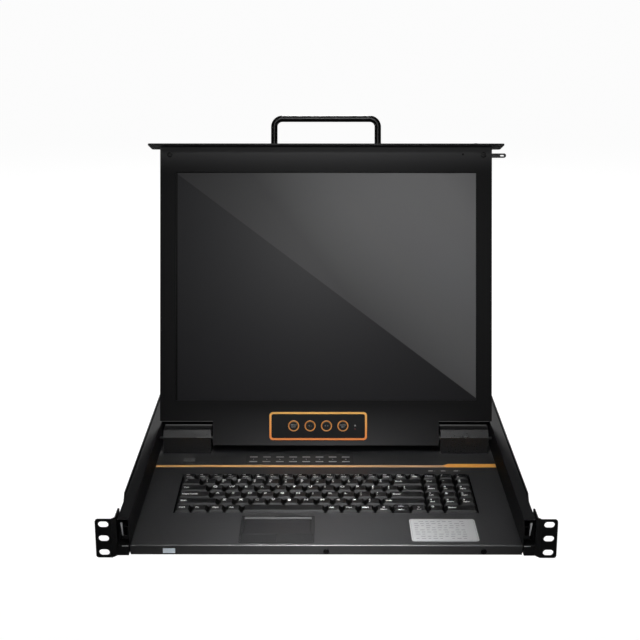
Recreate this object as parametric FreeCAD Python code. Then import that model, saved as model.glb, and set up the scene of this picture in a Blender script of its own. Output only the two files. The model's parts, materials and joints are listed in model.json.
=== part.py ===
import FreeCAD, Part
import math
import os

# Rackmount LCD console drawer, one rack unit high.  All sizes in millimetres.
# X runs to the right, Y to the back, Z up.  Heights are measured from the bottom
# of the rack unit, and every piece is lowered by half a unit when it is written,
# so the origin is the centre of the ear holes on the face that meets the rack.

Vector = FreeCAD.Vector
AXES = {"x": Vector(1, 0, 0), "y": Vector(0, 1, 0), "z": Vector(0, 0, 1)}

# Rack interface
unit_height = 44.45
panel_height = 43.7
hole_inset = 8.75
hole_spacing_z = 31.75
overall_width = 482.6
slot_width = 7.0
slot_length = 11.0
ear_thickness = 2.0
ear_corner = 3.0
ear_flange_width = 17.1
ear_inset = 21.8
ear_leg_depth = 26.0
ear_leg_gap = 0.5
ear_joggle_depth = 5.2
keeper_height = 7.0
keeper_margin = 1.2

# Fixed side structure and telescopic slides
side_wall_thickness = 1.5
side_wall_front = 55.0
side_wall_nose = 14.0
side_wall_top = 43.0
box_depth = 106.0
box_gap = 4.0
rail_front = 3.0
rail_height = 12.0
rail_gap = 0.7
rail_wall = 1.2
slide_front = 15.0
slide_overrun = 2.5
slide_width = 12.3
slide_height = 28.0
outer_thickness = 1.5
outer_flange = 8.5
member_thickness = 1.2
ball_gap = 2.0
middle_front = 56.0
middle_length = 372.0
middle_web_offset = 5.1
middle_flange = 5.6
cage_inset = 40.0
cage_edge_gap = 0.6
cage_web_gap = 0.4
cage_share = 0.6
inner_flange = 4.8
stop_tab_height = 13.0
stop_tab_gap = 0.6
stop_tab_blade = 1.6
stop_tab_arm = 3.0

# Drawer tray
tray_front = 4.0
tray_bottom = 1.0
sheet = 1.2
wall_thickness = 1.0
wall_top = 42.0
wall_flange_gap = 0.9
wall_nose_height = 9.0
wall_nose_depth = 5.0
deck_top = 12.0
deck_behind_hinge = 10.0
rear_bay_depth = 91.0
deck_edge_radius = 2.0
rear_cover_top = 41.0
vent_count = 12
vent_pitch = 28.0
vent_length = 40.0
vent_width = 4.0

# Keyboard
keyboard_centre_y = 137.45
keyboard_side_margin = 1.0
keyboard_end_margin = 0.8
key_width = 18.45
keys_across = 15.34
row_pitch = 18.2
full_row_count = 5
function_row_depth = 14.9
function_key_count = 17
pad_pitch = 18.65
pad_columns = 3
key_gap = 1.0
key_taper = 2.2
key_top = 14.4
key_height = 4.0
key_travel = 3.0
modifier_key_share = 1.02
space_key_share = 5.06
base_overhang = 3.0
base_top = 7.2
plunger_width = 5.0
plunger_clearance = 0.35
plunger_length = 3.9

# Touchpad module
module_left = -92.5
module_right = -13.0
module_front = 10.0
module_depth = 65.4
module_top = 12.2
module_flange = 3.0
module_gap = 0.5
button_depth = 20.0
button_gap = 0.4
button_floor = 9.0
button_travel = 0.8
button_rest_gap = 0.1
pad_border = 3.0
pad_bar = 1.0
pad_bevel = 1.8
pad_rear_border = 2.4
pad_recess = 1.8
pad_thickness = 1.0
pad_side_gap = 0.8

# Marks and small parts on the deck
keypad_left = -98.0
keypad_right = 34.0
keypad_front = 224.0
keypad_rear = 251.0
keypad_thickness = 0.3
keypad_corner = 1.5
cover_plate_inset = 39.2
cover_plate_y = 235.0
cover_plate_width = 14.0
cover_plate_depth = 10.5
cover_plate_thickness = 0.8

# Lid hinge
axis_y = 266.0
axis_z = 29.0
lid_tilt = 16.3
shaft_radius = 4.0
shaft_clearance = 0.05
shaft_end_gap = 0.5
shaft_grip = 20.5
shaft_reach = 48.0
barrel_wall = 3.0
barrel_gap = 1.0
hinge_foot_depth = 17.0
hinge_foot_height = 4.0
cover_notch_gap = 2.5
cover_wall_gap = 5.2
cover_ahead = 9.0
cover_behind = 16.0
cover_step = 33.0
cover_top = 41.0
cover_slope = 7.0
cover_wall = 1.2
cover_bore_clearance = 0.6
dowel_radius = 1.8
dowel_sides = 12
dowel_clearance = 0.1

# Lid
lid_side_gap = 1.4
lid_height = 368.5
lid_thickness = 24.0
lid_corner = 2.0
axis_above_edge = 8.0
axis_behind_face = 12.0
bezel_thickness = 1.5
shell_wall = 1.5
hinge_notch_width = 65.3
hinge_notch_height = 29.9
screen_side_border = 19.3
screen_top_border = 31.2
screen_bottom = 55.8
screen_lap = 2.5
screen_recess = 0.8
panel_depth = 8.0
hinge_boss = 7.0

# Screen controls
osd_x = -9.4
osd_bottom = 6.0
osd_width = 121.7
osd_height = 35.9
osd_corner = 8.0
osd_thickness = 0.4
osd_button_first_x = -39.7
osd_button_pitch = 20.25
osd_button_count = 4
osd_button_height = 24.2
osd_button_radius = 4.7
osd_button_clearance = 0.3
osd_button_proud = 1.2
osd_button_depth = 4.2
osd_button_sides = 16

# Front plate, handle and latch
plate_side_gap = 1.5
plate_thickness = 2.0
plate_ahead = 17.0
plate_behind = 25.0
plate_corner = 2.0
handle_width = 136.0
handle_reach = 37.4
handle_radius = 4.0
handle_bend = 10.0
handle_sides = 12
latch_below_top = 9.1
latch_depth = 12.5
latch_width = 5.2
latch_thickness = 3.0
latch_engagement = 2.3
latch_tail_inset = 28.8
latch_travel = 12.0
latch_clearance = 0.4
latch_eye_length = 5.0
latch_eye_width = 2.0
guide_length = 7.0
guide_wall = 2.0
knob_inset = 18.8
knob_radius = 2.6
knob_sides = 16
knob_reach = 4.0

# Switch box behind the drawer
box_wall = 1.2
port_count = 8
port_inset = 29.5
port_pitch = 36.0
port_height = 22.0
port_flange_width = 31.0
port_flange_height = 12.5
port_flange_thickness = 0.8
port_shell_width = 17.0
port_shell_height = 8.4
port_shell_reach = 6.0
port_shell_slant = 1.5
port_post_offset = 12.4
port_post_radius = 2.6
port_post_reach = 5.0
inlet_inset = 33.5
inlet_flange_width = 49.0
inlet_flange_height = 24.0
inlet_flange_thickness = 2.5
inlet_body_width = 28.0
inlet_body_height = 20.0
inlet_body_depth = 18.0
inlet_recess_width = 24.4
inlet_recess_height = 16.2
inlet_recess_depth = 16.0
inlet_corner = 3.0
inlet_blade_spacing = 7.0
inlet_blade_width = 2.0
inlet_blade_height = 4.0
inlet_blade_rise = 3.0
inlet_blade_length = 12.0
rocker_inlet_pitch = 44.0
rocker_frame_width = 15.0
rocker_frame_height = 21.0
rocker_frame_wall = 1.6
rocker_well_depth = 10.0
rocker_side_gap = 0.4
rocker_pivot_depth = 4.0
rocker_swing = 8.2
rocker_rest_angle = 6.0
rocker_pin_radius = 1.2
rocker_pin_clearance = 0.05
board_rise = 6.0
board_thickness = 1.6
board_depth = 80.0
board_margin = 20.0
board_post = 6.0

# Places that follow from the sizes above
ear_half = overall_width / 2
panel_bottom = (unit_height - panel_height) / 2
slot_centre_x = ear_half - hole_inset
slide_space = ear_half - ear_inset
wall_inner_face = slide_space - slide_width - wall_thickness
hole_centre_z = unit_height / 2
ear_flange_inner = ear_half - ear_flange_width
slide_bottom = rail_height
slide_top = slide_bottom + slide_height
middle_web = slide_space - middle_web_offset
wall_outer_face = wall_inner_face + wall_thickness
deck_under = deck_top - sheet
pan_front = tray_front + sheet
deck_rear = axis_y + cover_behind + deck_behind_hinge
tray_rear = deck_rear + rear_bay_depth
cover_front = axis_y - cover_ahead
cover_rear = axis_y + cover_behind
pan_floor = tray_bottom + sheet
main_keys_width = keys_across * key_width
all_keys_width = main_keys_width + pad_columns * pad_pitch
keyboard_width = all_keys_width + 2 * keyboard_side_margin
keyboard_depth = function_row_depth + full_row_count * row_pitch + 2 * keyboard_end_margin
keyboard_front = keyboard_centre_y - keyboard_depth / 2
keyboard_rear = keyboard_centre_y + keyboard_depth / 2
pad_front = module_front + button_depth + pad_bar
bed_rear = module_front + module_depth - pad_rear_border - pad_bevel
barrel_radius = shaft_radius + barrel_wall
lid_half = wall_inner_face - lid_side_gap
hinge_notch_inner = lid_half - hinge_notch_width
cover_inner_end = hinge_notch_inner + cover_notch_gap
cover_outer_end = wall_inner_face - cover_wall_gap
shaft_inner_end = hinge_notch_inner - shaft_grip
shaft_outer_end = cover_inner_end + shaft_reach
screen_width = 2 * (lid_half - screen_side_border)
screen_height = lid_height - screen_bottom - screen_top_border
latch_height = lid_height - latch_below_top
latch_tip = slide_space + ear_thickness + latch_engagement
latch_tail = lid_half - latch_tail_inset
knob_x = lid_half - knob_inset
plate_half = slide_space - plate_side_gap
closed_travel = lid_height - axis_above_edge - axis_y
slide_rear = tray_rear + closed_travel + slide_overrun
middle_rear = middle_front + middle_length
box_front = slide_rear + box_gap
chassis_depth = box_front + box_depth
port_first_x = port_inset - slide_space
inlet_x = slide_space - inlet_inset
rocker_x = inlet_x - rocker_inlet_pitch
cover_plate_x = cover_plate_inset - wall_inner_face
box_floor = panel_bottom + box_wall
box_top = side_wall_top - box_wall


def block(x, y, z):
    """Box between three (low, high) pairs."""
    return Part.makeBox(x[1] - x[0], y[1] - y[0], z[1] - z[0], Vector(x[0], y[0], z[0]))


def prism(axis, outline, span):
    """Closed outline of two coordinates, drawn across an axis and extruded over a span of it."""
    places = {
        "x": lambda a, b: Vector(span[0], a, b),
        "y": lambda a, b: Vector(a, span[0], b),
        "z": lambda a, b: Vector(a, b, span[0]),
    }
    corners = [places[axis](a, b) for a, b in outline]
    face = Part.Face(Part.makePolygon(corners + corners[:1]))
    return face.extrude(AXES[axis] * (span[1] - span[0]))


def edges_along(solid, axis, accept=lambda point: True):
    """Straight edges parallel to an axis whose middle point is accepted."""
    chosen = []
    for edge in solid.Edges:
        run = edge.Vertexes[-1].Point - edge.Vertexes[0].Point
        if run.Length > 0 and abs(run.dot(AXES[axis])) > 0.999 * run.Length:
            if accept(edge.CenterOfMass):
                chosen.append(edge)
    return chosen


def slab(axis, a, b, span, radius):
    """Rectangle with round corners, extruded over a span of an axis."""
    solid = prism(axis, [(a[0], b[0]), (a[1], b[0]), (a[1], b[1]), (a[0], b[1])], span)
    return solid.makeFillet(radius, edges_along(solid, axis))


def rod(axis, start, length, radius):
    return Part.makeCylinder(radius, length, Vector(*start), AXES[axis])


def polygon(a, b, sides, radius):
    """Corners of an even-sided outline centred on (a, b)."""
    turns = [2 * math.pi * corner / sides for corner in range(sides)]
    return [(a + radius * math.cos(turn), b + radius * math.sin(turn)) for turn in turns]


def many_sided(axis, a, b, sides, span, radius):
    """Flat-sided bar centred on (a, b), with its corners at the radius."""
    return prism(axis, polygon(a, b, sides, radius), span)


def slot(axis, a, b, span, length, width):
    """Round-ended slot centred on (a, b), long in the first direction across its axis."""
    half = length / 2
    return slab(axis, (a - half, a + half), (b - width / 2, b + width / 2), span, width * 0.4999)


def about(centre, half):
    return (centre - half, centre + half)


def mirrored(solid):
    return solid.mirror(Vector(0, 0, 0), AXES["x"])


def fused(solids):
    return solids[0].multiFuse(solids[1:]).removeSplitter() if len(solids) > 1 else solids[0]


def write(node, shape):
    """Lower a piece to the rack origin and write it under its own name."""
    placed = shape.copy()
    placed.translate(Vector(0, 0, -hole_centre_z))
    placed.exportStep("parts/" + node + ".step")


def write_pair(stem, right):
    write(stem + "_right", right)
    write(stem + "_left", mirrored(right))


# ---------------------------------------------------------------- rack ears

def ear(with_keeper):
    """Right ear: slotted flange, joggle and a leg that meets the slide's outer member."""
    t = ear_thickness
    leg = slide_space
    inner = ear_flange_inner
    slope = math.hypot(inner - leg, ear_joggle_depth)
    lean = t * (slope - (inner - leg)) / ear_joggle_depth
    outline = [
        (ear_half, -t), (inner, -t), (leg, ear_joggle_depth - t), (leg, ear_leg_depth),
        (leg + t, ear_leg_depth), (leg + t, ear_joggle_depth - t + lean * 0.5),
        (inner + lean * 0.5, 0), (ear_half, 0),
    ]
    solid = prism("z", outline, (panel_bottom, panel_bottom + panel_height))
    solid = solid.makeFillet(ear_corner, edges_along(solid, "y", lambda p: p.x > ear_half - 0.1))
    for step in (-1, 0, 1):
        height = hole_centre_z + step * hole_spacing_z / 2
        solid = solid.cut(slot("y", slot_centre_x, height, (-2 * t, t), slot_length, slot_width))
    if with_keeper:
        bolt_y = axis_y + closed_travel - (latch_height - axis_above_edge)
        bolt_z = axis_z - axis_behind_face + latch_depth
        reach = latch_width / 2 + keeper_margin
        window = block((leg - 1, leg + 2 * t), about(bolt_y, reach), about(bolt_z, keeper_height / 2))
        solid = solid.cut(window)
    return solid


# ---------------------------------------------------------------- sides and slides

def side_wall():
    """Right side of the fixed frame: a long wall, with the box rail that it stands on."""
    outer = slide_space + side_wall_thickness
    nose = side_wall_nose
    foot = ear_leg_depth + ear_leg_gap
    profile = [
        (foot, panel_bottom), (chassis_depth, panel_bottom), (chassis_depth, side_wall_top),
        (side_wall_front + nose, side_wall_top), (side_wall_front, side_wall_top - nose),
        (side_wall_front, rail_height), (foot, rail_height),
    ]
    wall = prism("x", profile, (slide_space, outer))
    inner = wall_outer_face + rail_gap
    length = (rail_front, slide_rear)
    rail = block((inner, slide_space), length, (panel_bottom, rail_height))
    hollow = block(
        (inner + rail_wall, slide_space), (rail_front + rail_wall, slide_rear - rail_wall),
        (panel_bottom + rail_wall, rail_height - rail_wall),
    )
    return wall.fuse(rail.cut(hollow)).removeSplitter()


def member(web, tips, z, thickness, y):
    """C-shaped slide member of folded sheet: web at one X, flanges reaching to the other."""
    way = math.copysign(thickness, tips - web)
    outline = [
        (web, z[0]), (tips, z[0]), (tips, z[0] + thickness), (web + way, z[0] + thickness),
        (web + way, z[1] - thickness), (tips, z[1] - thickness), (tips, z[1]), (web, z[1]),
    ]
    solid = prism("y", outline, y)
    bends = edges_along(solid, "y", lambda p: abs(p.x - web) < 0.01)
    return solid.makeFillet(thickness * 1.2, bends)


def slide_outer():
    web = slide_space
    return member(web, web - outer_flange, (slide_bottom, slide_top), outer_thickness,
                  (slide_front, slide_rear))


def slide_middle():
    """Middle member with the four ball cages that run on it."""
    inset = outer_thickness + ball_gap
    z = (slide_bottom + inset, slide_top - inset)
    solid = member(middle_web, middle_web - middle_flange, z, member_thickness,
                   (middle_front, middle_rear))
    cage_x = (middle_web - middle_flange + cage_edge_gap, middle_web - member_thickness - cage_web_gap)
    cage_y = (middle_front + cage_inset, middle_rear - cage_inset)
    cage = ball_gap * cage_share
    inner_low = z[0] + member_thickness
    inner_high = z[1] - member_thickness
    cages = [
        block(cage_x, cage_y, (z[0] - cage, z[0])),
        block(cage_x, cage_y, (z[1], z[1] + cage)),
        block(cage_x, cage_y, (inner_low, inner_low + cage)),
        block(cage_x, cage_y, (inner_high - cage, inner_high)),
    ]
    return fused([solid] + cages)


def slide_inner():
    """Inner member on the drawer wall, with a turned-out stop blade at its front end."""
    inset = outer_thickness + member_thickness + 2 * ball_gap
    z = (slide_bottom + inset, slide_top - inset)
    web = wall_outer_face
    y = (tray_front + 1, tray_rear)
    solid = member(web, web + inner_flange, z, member_thickness, y)
    tip = middle_web - stop_tab_gap
    low, high = about((z[0] + z[1]) / 2, stop_tab_height / 2)
    tab = prism("y", [
        (web, low), (tip, low), (tip, high), (tip - stop_tab_blade, high),
        (tip - stop_tab_blade, low + stop_tab_arm), (web, low + stop_tab_arm),
    ], (y[0], y[0] + member_thickness))
    return fused([solid, tab])


# ---------------------------------------------------------------- drawer tray

def tray_pan():
    outer = block(about(0, wall_inner_face), (pan_front, tray_rear), (tray_bottom, deck_under))
    inner = block(
        about(0, wall_inner_face - sheet), (pan_front + sheet, tray_rear - sheet),
        (pan_floor, deck_under + 1),
    )
    return outer.cut(inner)


def deck_panel():
    """Deck sheet folded down along its front edge, open for the keyboard and the touchpad."""
    outline = [
        (tray_front, tray_bottom), (pan_front, tray_bottom), (pan_front, deck_under),
        (deck_rear, deck_under), (deck_rear, deck_top), (tray_front, deck_top),
    ]
    solid = prism("x", outline, about(0, wall_inner_face))
    fold = edges_along(solid, "x", lambda p: p.y < tray_front + 0.01 and p.z > deck_top - 0.01)
    solid = solid.makeFillet(deck_edge_radius, fold)
    through = (deck_under - 1, deck_top + 1)
    openings = [
        block(about(0, keyboard_width / 2), (keyboard_front, keyboard_rear), through),
        block((module_left - module_gap, module_right + module_gap),
              (module_front - module_gap, module_front + module_depth + module_gap), through),
    ]
    return solid.cut(Part.makeCompound(openings))


def tray_wall():
    """Right wall of the drawer, folded outward along the top over the slide."""
    outer = slide_space - wall_flange_gap
    t = wall_thickness
    outline = [
        (wall_inner_face, tray_bottom), (wall_outer_face, tray_bottom),
        (wall_outer_face, wall_top - t), (outer, wall_top - t), (outer, wall_top),
        (wall_inner_face, wall_top),
    ]
    front = tray_front - t
    solid = prism("y", outline, (front, tray_rear))
    bend = edges_along(solid, "y", lambda p: p.x < wall_inner_face + 0.01 and p.z > wall_top - 0.01)
    solid = solid.makeFillet(t * 1.3, bend)
    nose = prism(
        "x",
        [
            (front, tray_bottom), (front + wall_nose_depth, tray_bottom),
            (front, tray_bottom + wall_nose_height),
        ],
        (wall_inner_face - 1, outer + 1),
    )
    return solid.cut(nose)


def rear_cover():
    """Raised cover over the cable space at the back of the drawer, with a row of vents."""
    across = about(0, wall_inner_face)
    t = sheet
    outline = [
        (deck_rear, deck_under), (deck_rear, rear_cover_top), (tray_rear, rear_cover_top),
        (tray_rear, deck_under), (tray_rear - t, deck_under), (tray_rear - t, rear_cover_top - t),
        (deck_rear + t, rear_cover_top - t), (deck_rear + t, deck_under),
    ]
    solid = prism("x", outline, across)
    middle = (deck_rear + tray_rear) / 2
    first = -vent_pitch * (vent_count - 1) / 2
    vents = []
    for index in range(vent_count):
        x = first + index * vent_pitch
        vents.append(block(about(x, vent_width / 2), about(middle, vent_length / 2),
                           (rear_cover_top - 2 * t, rear_cover_top + 1)))
    return solid.cut(Part.makeCompound(vents))


# ---------------------------------------------------------------- keyboard

def keyboard_rows():
    """Name of each key row with the (left, width, front, depth) of its keys."""
    main_left = -all_keys_width / 2
    top = keyboard_rear - keyboard_end_margin
    narrow = keys_across / function_key_count
    patterns = [
        ("keys_function", [narrow] * function_key_count),
        ("keys_number", [keys_across - 14] + [1] * 12 + [2]),
        ("keys_tab", [keys_across - 13.5] + [1] * 12 + [1.5]),
        ("keys_home", [keys_across - 13.25] + [1] * 11 + [2.25]),
        ("keys_shift", [keys_across - 12.75] + [1] * 10 + [2.75]),
    ]
    rows = []
    rear = top
    for name, widths in patterns:
        depth = function_row_depth if name == "keys_function" else row_pitch
        keys = []
        left = main_left
        for width in widths:
            keys.append((left, width * key_width, rear - depth, depth))
            left += width * key_width
        rows.append((name, keys))
        rear -= depth
    front = rear - row_pitch
    small = modifier_key_share * key_width
    bottom = [(main_left + index * small, small, front, row_pitch) for index in range(4)]
    space_left = main_left + 4 * small
    space_width = space_key_share * key_width
    left = space_left + space_width
    bottom += [(left + index * key_width, key_width, front, row_pitch) for index in range(3)]
    left += 3 * key_width
    arrow = (main_left + main_keys_width - left) / 3
    bottom += [
        (left, arrow, front, row_pitch), (left + arrow, arrow, front, row_pitch / 2),
        (left + arrow, arrow, front + row_pitch / 2, row_pitch / 2),
        (left + 2 * arrow, arrow, front, row_pitch),
    ]
    rows.append(("keys_bottom", bottom))
    rows.append(("key_space", [(space_left, space_width, front, row_pitch)]))
    pad_left = main_left + main_keys_width
    pad = []
    rear = top
    for line in range(full_row_count + 1):
        depth = row_pitch if line else function_row_depth
        rear -= depth
        if line < full_row_count:
            pad += [(pad_left + c * pad_pitch, pad_pitch, rear, depth) for c in range(pad_columns)]
        else:
            pad.append((pad_left, pad_pitch, rear, depth))
            pad.append((pad_left + pad_pitch, (pad_columns - 1) * pad_pitch, rear, depth))
    rows.append(("keys_numpad", pad))
    return rows


def frustum(x, y, z, taper):
    """Flat-sided block that narrows by the taper on every side towards its top."""
    low = [Vector(x[i], y[j], z[0]) for i, j in ((0, 0), (1, 0), (1, 1), (0, 1))]
    top = [Vector(x[i] + taper * (1 - 2 * i), y[j] + taper * (1 - 2 * j), z[1])
           for i, j in ((0, 0), (1, 0), (1, 1), (0, 1))]
    outlines = [low, top]
    for side in range(4):
        after = (side + 1) % 4
        outlines.append([low[side], low[after], top[after], top[side]])
    faces = [Part.Face(Part.makePolygon(outline + outline[:1])) for outline in outlines]
    return Part.makeSolid(Part.makeShell(faces))


def keycap(left, width, front, depth):
    """Tapered cap on a square plunger; the taper is less where the cap is half depth."""
    half_gap = key_gap / 2
    x = (left + half_gap, left + width - half_gap)
    y = (front + half_gap, front + depth - half_gap)
    bottom = key_top - key_height
    cap = frustum(x, y, (bottom, key_top), min(key_taper, depth / 8))
    half = plunger_width / 2
    stem = block(about((x[0] + x[1]) / 2, half), about((y[0] + y[1]) / 2, half),
                 (bottom - plunger_length, bottom))
    return fused([cap, stem])


def keyboard_base(rows):
    """Plate under the keys with a square guide pocket for each plunger."""
    solid = block(
        about(0, keyboard_width / 2 + base_overhang),
        (keyboard_front - base_overhang, keyboard_rear + base_overhang), (pan_floor, base_top),
    )
    floor = key_top - key_height - plunger_length - key_travel - plunger_clearance / 2
    half = plunger_width / 2 + plunger_clearance
    pockets = []
    for _, keys in rows:
        for left, width, front, depth in keys:
            pockets.append(block(about(left + width / 2, half), about(front + depth / 2, half),
                                 (floor, base_top + 1)))
    return solid.cut(Part.makeCompound(pockets))


# ---------------------------------------------------------------- touchpad module

def touchpad_frame():
    """Frame with a sunk pad bed, a bevel behind the pad and an open bay for two buttons."""
    x = (module_left, module_right)
    rear = module_front + module_depth
    body = block(x, (module_front, rear), (button_floor - sheet, module_top))
    flange = block(
        (x[0] - module_flange, x[1] + module_flange),
        (pan_front + sheet, rear + module_flange), (deck_under - sheet, deck_under),
    )
    solid = fused([body, flange])
    bay = block((x[0] + 1, x[1] - 1), (module_front + 1, module_front + button_depth),
                (button_floor, module_top + 1))
    bed_x = (module_left + pad_border, module_right - pad_border)
    sunk = module_top - pad_recess
    bed = prism("x", [
        (pad_front, module_top - pad_thickness), (bed_rear, sunk - pad_thickness), (bed_rear, sunk),
        (bed_rear + pad_bevel, module_top), (bed_rear + pad_bevel, module_top + 1),
        (pad_front, module_top + 1),
    ], bed_x)
    return solid.cut(bay).cut(bed)


def touch_pad():
    """Pad that slopes down from the buttons to its rear edge, clear of the bed's sides."""
    inset = pad_border + pad_side_gap
    x = (module_left + inset, module_right - inset)
    rear = bed_rear - pad_side_gap
    low = module_top - pad_recess * (rear - pad_front) / (bed_rear - pad_front)
    return prism("x", [
        (pad_front, module_top - pad_thickness), (rear, low - pad_thickness), (rear, low),
        (pad_front, module_top),
    ], x)


def touch_button(side):
    """One of the two buttons; side is -1 for left and 1 for right of the module's middle."""
    middle = (module_left + module_right) / 2
    gap = button_gap
    outer = (module_right - module_left) / 2 - 1 - gap
    x = sorted((middle + side * gap / 2, middle + side * outer))
    y = (module_front + 1 + gap, module_front + button_depth - gap)
    return block(x, y, (button_floor + button_travel + button_rest_gap, module_top))


# ---------------------------------------------------------------- hinge

def hinge_cover():
    """Right hinge cover: a folded hood with a sloping shoulder, open below."""
    def hood(inset):
        return [
            (cover_front + inset, deck_top), (cover_front + inset, cover_step - inset * 0.3),
            (cover_front + cover_slope + inset * 0.5, cover_top - inset),
            (cover_rear - inset, cover_top - inset), (cover_rear - inset, deck_top),
        ]
    outer = prism("x", hood(0), (cover_inner_end, cover_outer_end))
    inner = prism("x", hood(cover_wall), (cover_inner_end + cover_wall, cover_outer_end - cover_wall))
    bore = rod("x", (cover_inner_end - 1, axis_y, axis_z), cover_wall + 2,
               shaft_radius + cover_bore_clearance)
    hole = many_sided("x", axis_y, axis_z, dowel_sides,
                      (cover_outer_end - cover_wall - 1, cover_outer_end + 1),
                      dowel_radius + dowel_clearance)
    return outer.cut(inner).cut(bore).cut(hole)


def hinge_bracket():
    """Friction barrel on a foot, with the dowel that ties its outer end to the drawer wall."""
    x = (cover_inner_end + cover_wall + barrel_gap, shaft_outer_end + barrel_wall)
    barrel = rod("x", (x[0], axis_y, axis_z), x[1] - x[0], barrel_radius)
    post = block(x, about(axis_y, barrel_radius * 0.7), (deck_top, axis_z))
    foot_y = (axis_y - barrel_radius * 0.7, axis_y - barrel_radius * 0.7 + hinge_foot_depth)
    foot = block(x, foot_y, (deck_top, deck_top + hinge_foot_height))
    dowel = many_sided("x", axis_y, axis_z, dowel_sides, (x[1], wall_inner_face), dowel_radius)
    bore = rod("x", (x[0] - 1, axis_y, axis_z), shaft_outer_end + shaft_end_gap - x[0] + 1,
               shaft_radius + shaft_clearance)
    return fused([barrel, post, foot, dowel]).cut(bore)


def hinge_shafts():
    length = shaft_outer_end - shaft_inner_end
    right = rod("x", (shaft_inner_end, axis_y, axis_z), length, shaft_radius)
    return Part.makeCompound([right, mirrored(right)])


# ---------------------------------------------------------------- lid
# The lid is drawn upright, with its face on Y 0 and its lower edge on Z 0,
# and then set on the hinge axis and leaned back.

def on_hinge(solid):
    placed = solid.copy()
    placed.translate(Vector(0, axis_y - axis_behind_face, axis_z - axis_above_edge))
    placed.rotate(Vector(0, axis_y, axis_z), AXES["x"], -lid_tilt)
    return placed


def hinge_notches(y):
    reach = lid_half - hinge_notch_inner
    right = block((hinge_notch_inner, hinge_notch_inner + reach + 1), y, (-1, hinge_notch_height))
    return Part.makeCompound([right, mirrored(right)])


def lid_shell():
    """Rear housing of the lid: a shallow tray with two bosses that hold the hinge shafts."""
    y = (bezel_thickness, lid_thickness)
    t = shell_wall
    solid = block(about(0, lid_half), y, (0, lid_height))
    solid = solid.makeChamfer(lid_corner, edges_along(solid, "z", lambda p: p.y > y[1] - 0.1))
    solid = solid.cut(hinge_notches((y[0] - 1, y[1] + 1)))
    cavity = block(about(0, lid_half - t), (y[0] - 1, y[1] - t), (hinge_notch_height + t, lid_height - t))
    centre = block(about(0, hinge_notch_inner - t), (y[0] - 1, y[1] - t), (t, hinge_notch_height + t + 1))
    solid = solid.cut(fused([cavity, centre]))
    boss = block((shaft_inner_end, hinge_notch_inner - t), about(axis_behind_face, hinge_boss),
                 (t, axis_above_edge + hinge_boss))
    solid = fused([solid, boss, mirrored(boss)])
    shaft = rod("x", (shaft_inner_end, axis_behind_face, axis_above_edge), shaft_grip + 1, shaft_radius)
    solid = solid.cut(Part.makeCompound([shaft, mirrored(shaft)]))
    gap = latch_clearance
    bolt = block((lid_half - 2 * t, lid_half + 1), about(latch_depth, latch_thickness / 2 + gap),
                 about(latch_height, latch_width / 2 + gap))
    return solid.cut(bolt).cut(knob_slot((lid_height - 2 * t, lid_height + 1)))


def knob_slot(z):
    """Slot that the latch knob runs in, from its rest place to its drawn place."""
    centre = knob_x - latch_travel / 2
    radius = knob_radius + latch_clearance
    return slot("z", centre, latch_depth, z, latch_travel + 2 * radius, 2 * radius)


def lid_bezel():
    y = (0, bezel_thickness)
    solid = block(about(0, lid_half), y, (0, lid_height))
    solid = solid.makeChamfer(lid_corner / 2, edges_along(solid, "y"))
    through = (y[0] - 1, y[1] + 1)
    solid = solid.cut(hinge_notches(through))
    screen = block(about(0, screen_width / 2), through, (screen_bottom, screen_bottom + screen_height))
    controls = block(about(osd_x, osd_width / 2 - osd_corner), through,
                     (osd_bottom + osd_corner, osd_bottom + osd_height - osd_corner))
    return solid.cut(screen).cut(controls)


def lcd_panel():
    front = bezel_thickness + screen_recess
    lap = screen_lap
    glass = block(about(0, screen_width / 2 + lap), (front, front + panel_depth),
                  (screen_bottom - lap, screen_bottom + screen_height + lap))
    gasket = block(about(0, screen_width / 2 + lap), (bezel_thickness, front),
                   (screen_bottom - lap, screen_bottom + screen_height + lap))
    window = block(about(0, screen_width / 2 + 0.5), (0, front + 1),
                   (screen_bottom - 0.5, screen_bottom + screen_height + 0.5))
    return fused([glass, gasket.cut(window)])


def osd_button_places():
    return [osd_button_first_x + index * osd_button_pitch for index in range(osd_button_count)]


def osd_button_holes(y):
    radius = osd_button_radius + osd_button_clearance
    return Part.makeCompound([many_sided("y", x, osd_button_height, osd_button_sides, y, radius)
                              for x in osd_button_places()])


def osd_overlay():
    """Raised control strip with a hole for each button."""
    z = (osd_bottom, osd_bottom + osd_height)
    solid = slab("y", about(osd_x, osd_width / 2), z, (-osd_thickness, 0), osd_corner)
    return solid.cut(osd_button_holes((-2 * osd_thickness, osd_thickness)))


def osd_button(x):
    y = (-osd_button_proud, osd_button_depth - osd_button_proud)
    return many_sided("y", x, osd_button_height, osd_button_sides, y, osd_button_radius)


def front_plate():
    """Plate that closes the rack unit when the lid is folded down and pushed in."""
    z = (lid_height, lid_height + plate_thickness)
    solid = block(about(0, plate_half), (-plate_ahead, plate_behind), z)
    solid = solid.makeChamfer(plate_corner, edges_along(solid, "z"))
    return solid.cut(knob_slot((z[0] - 1, z[1] + 1)))


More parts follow.
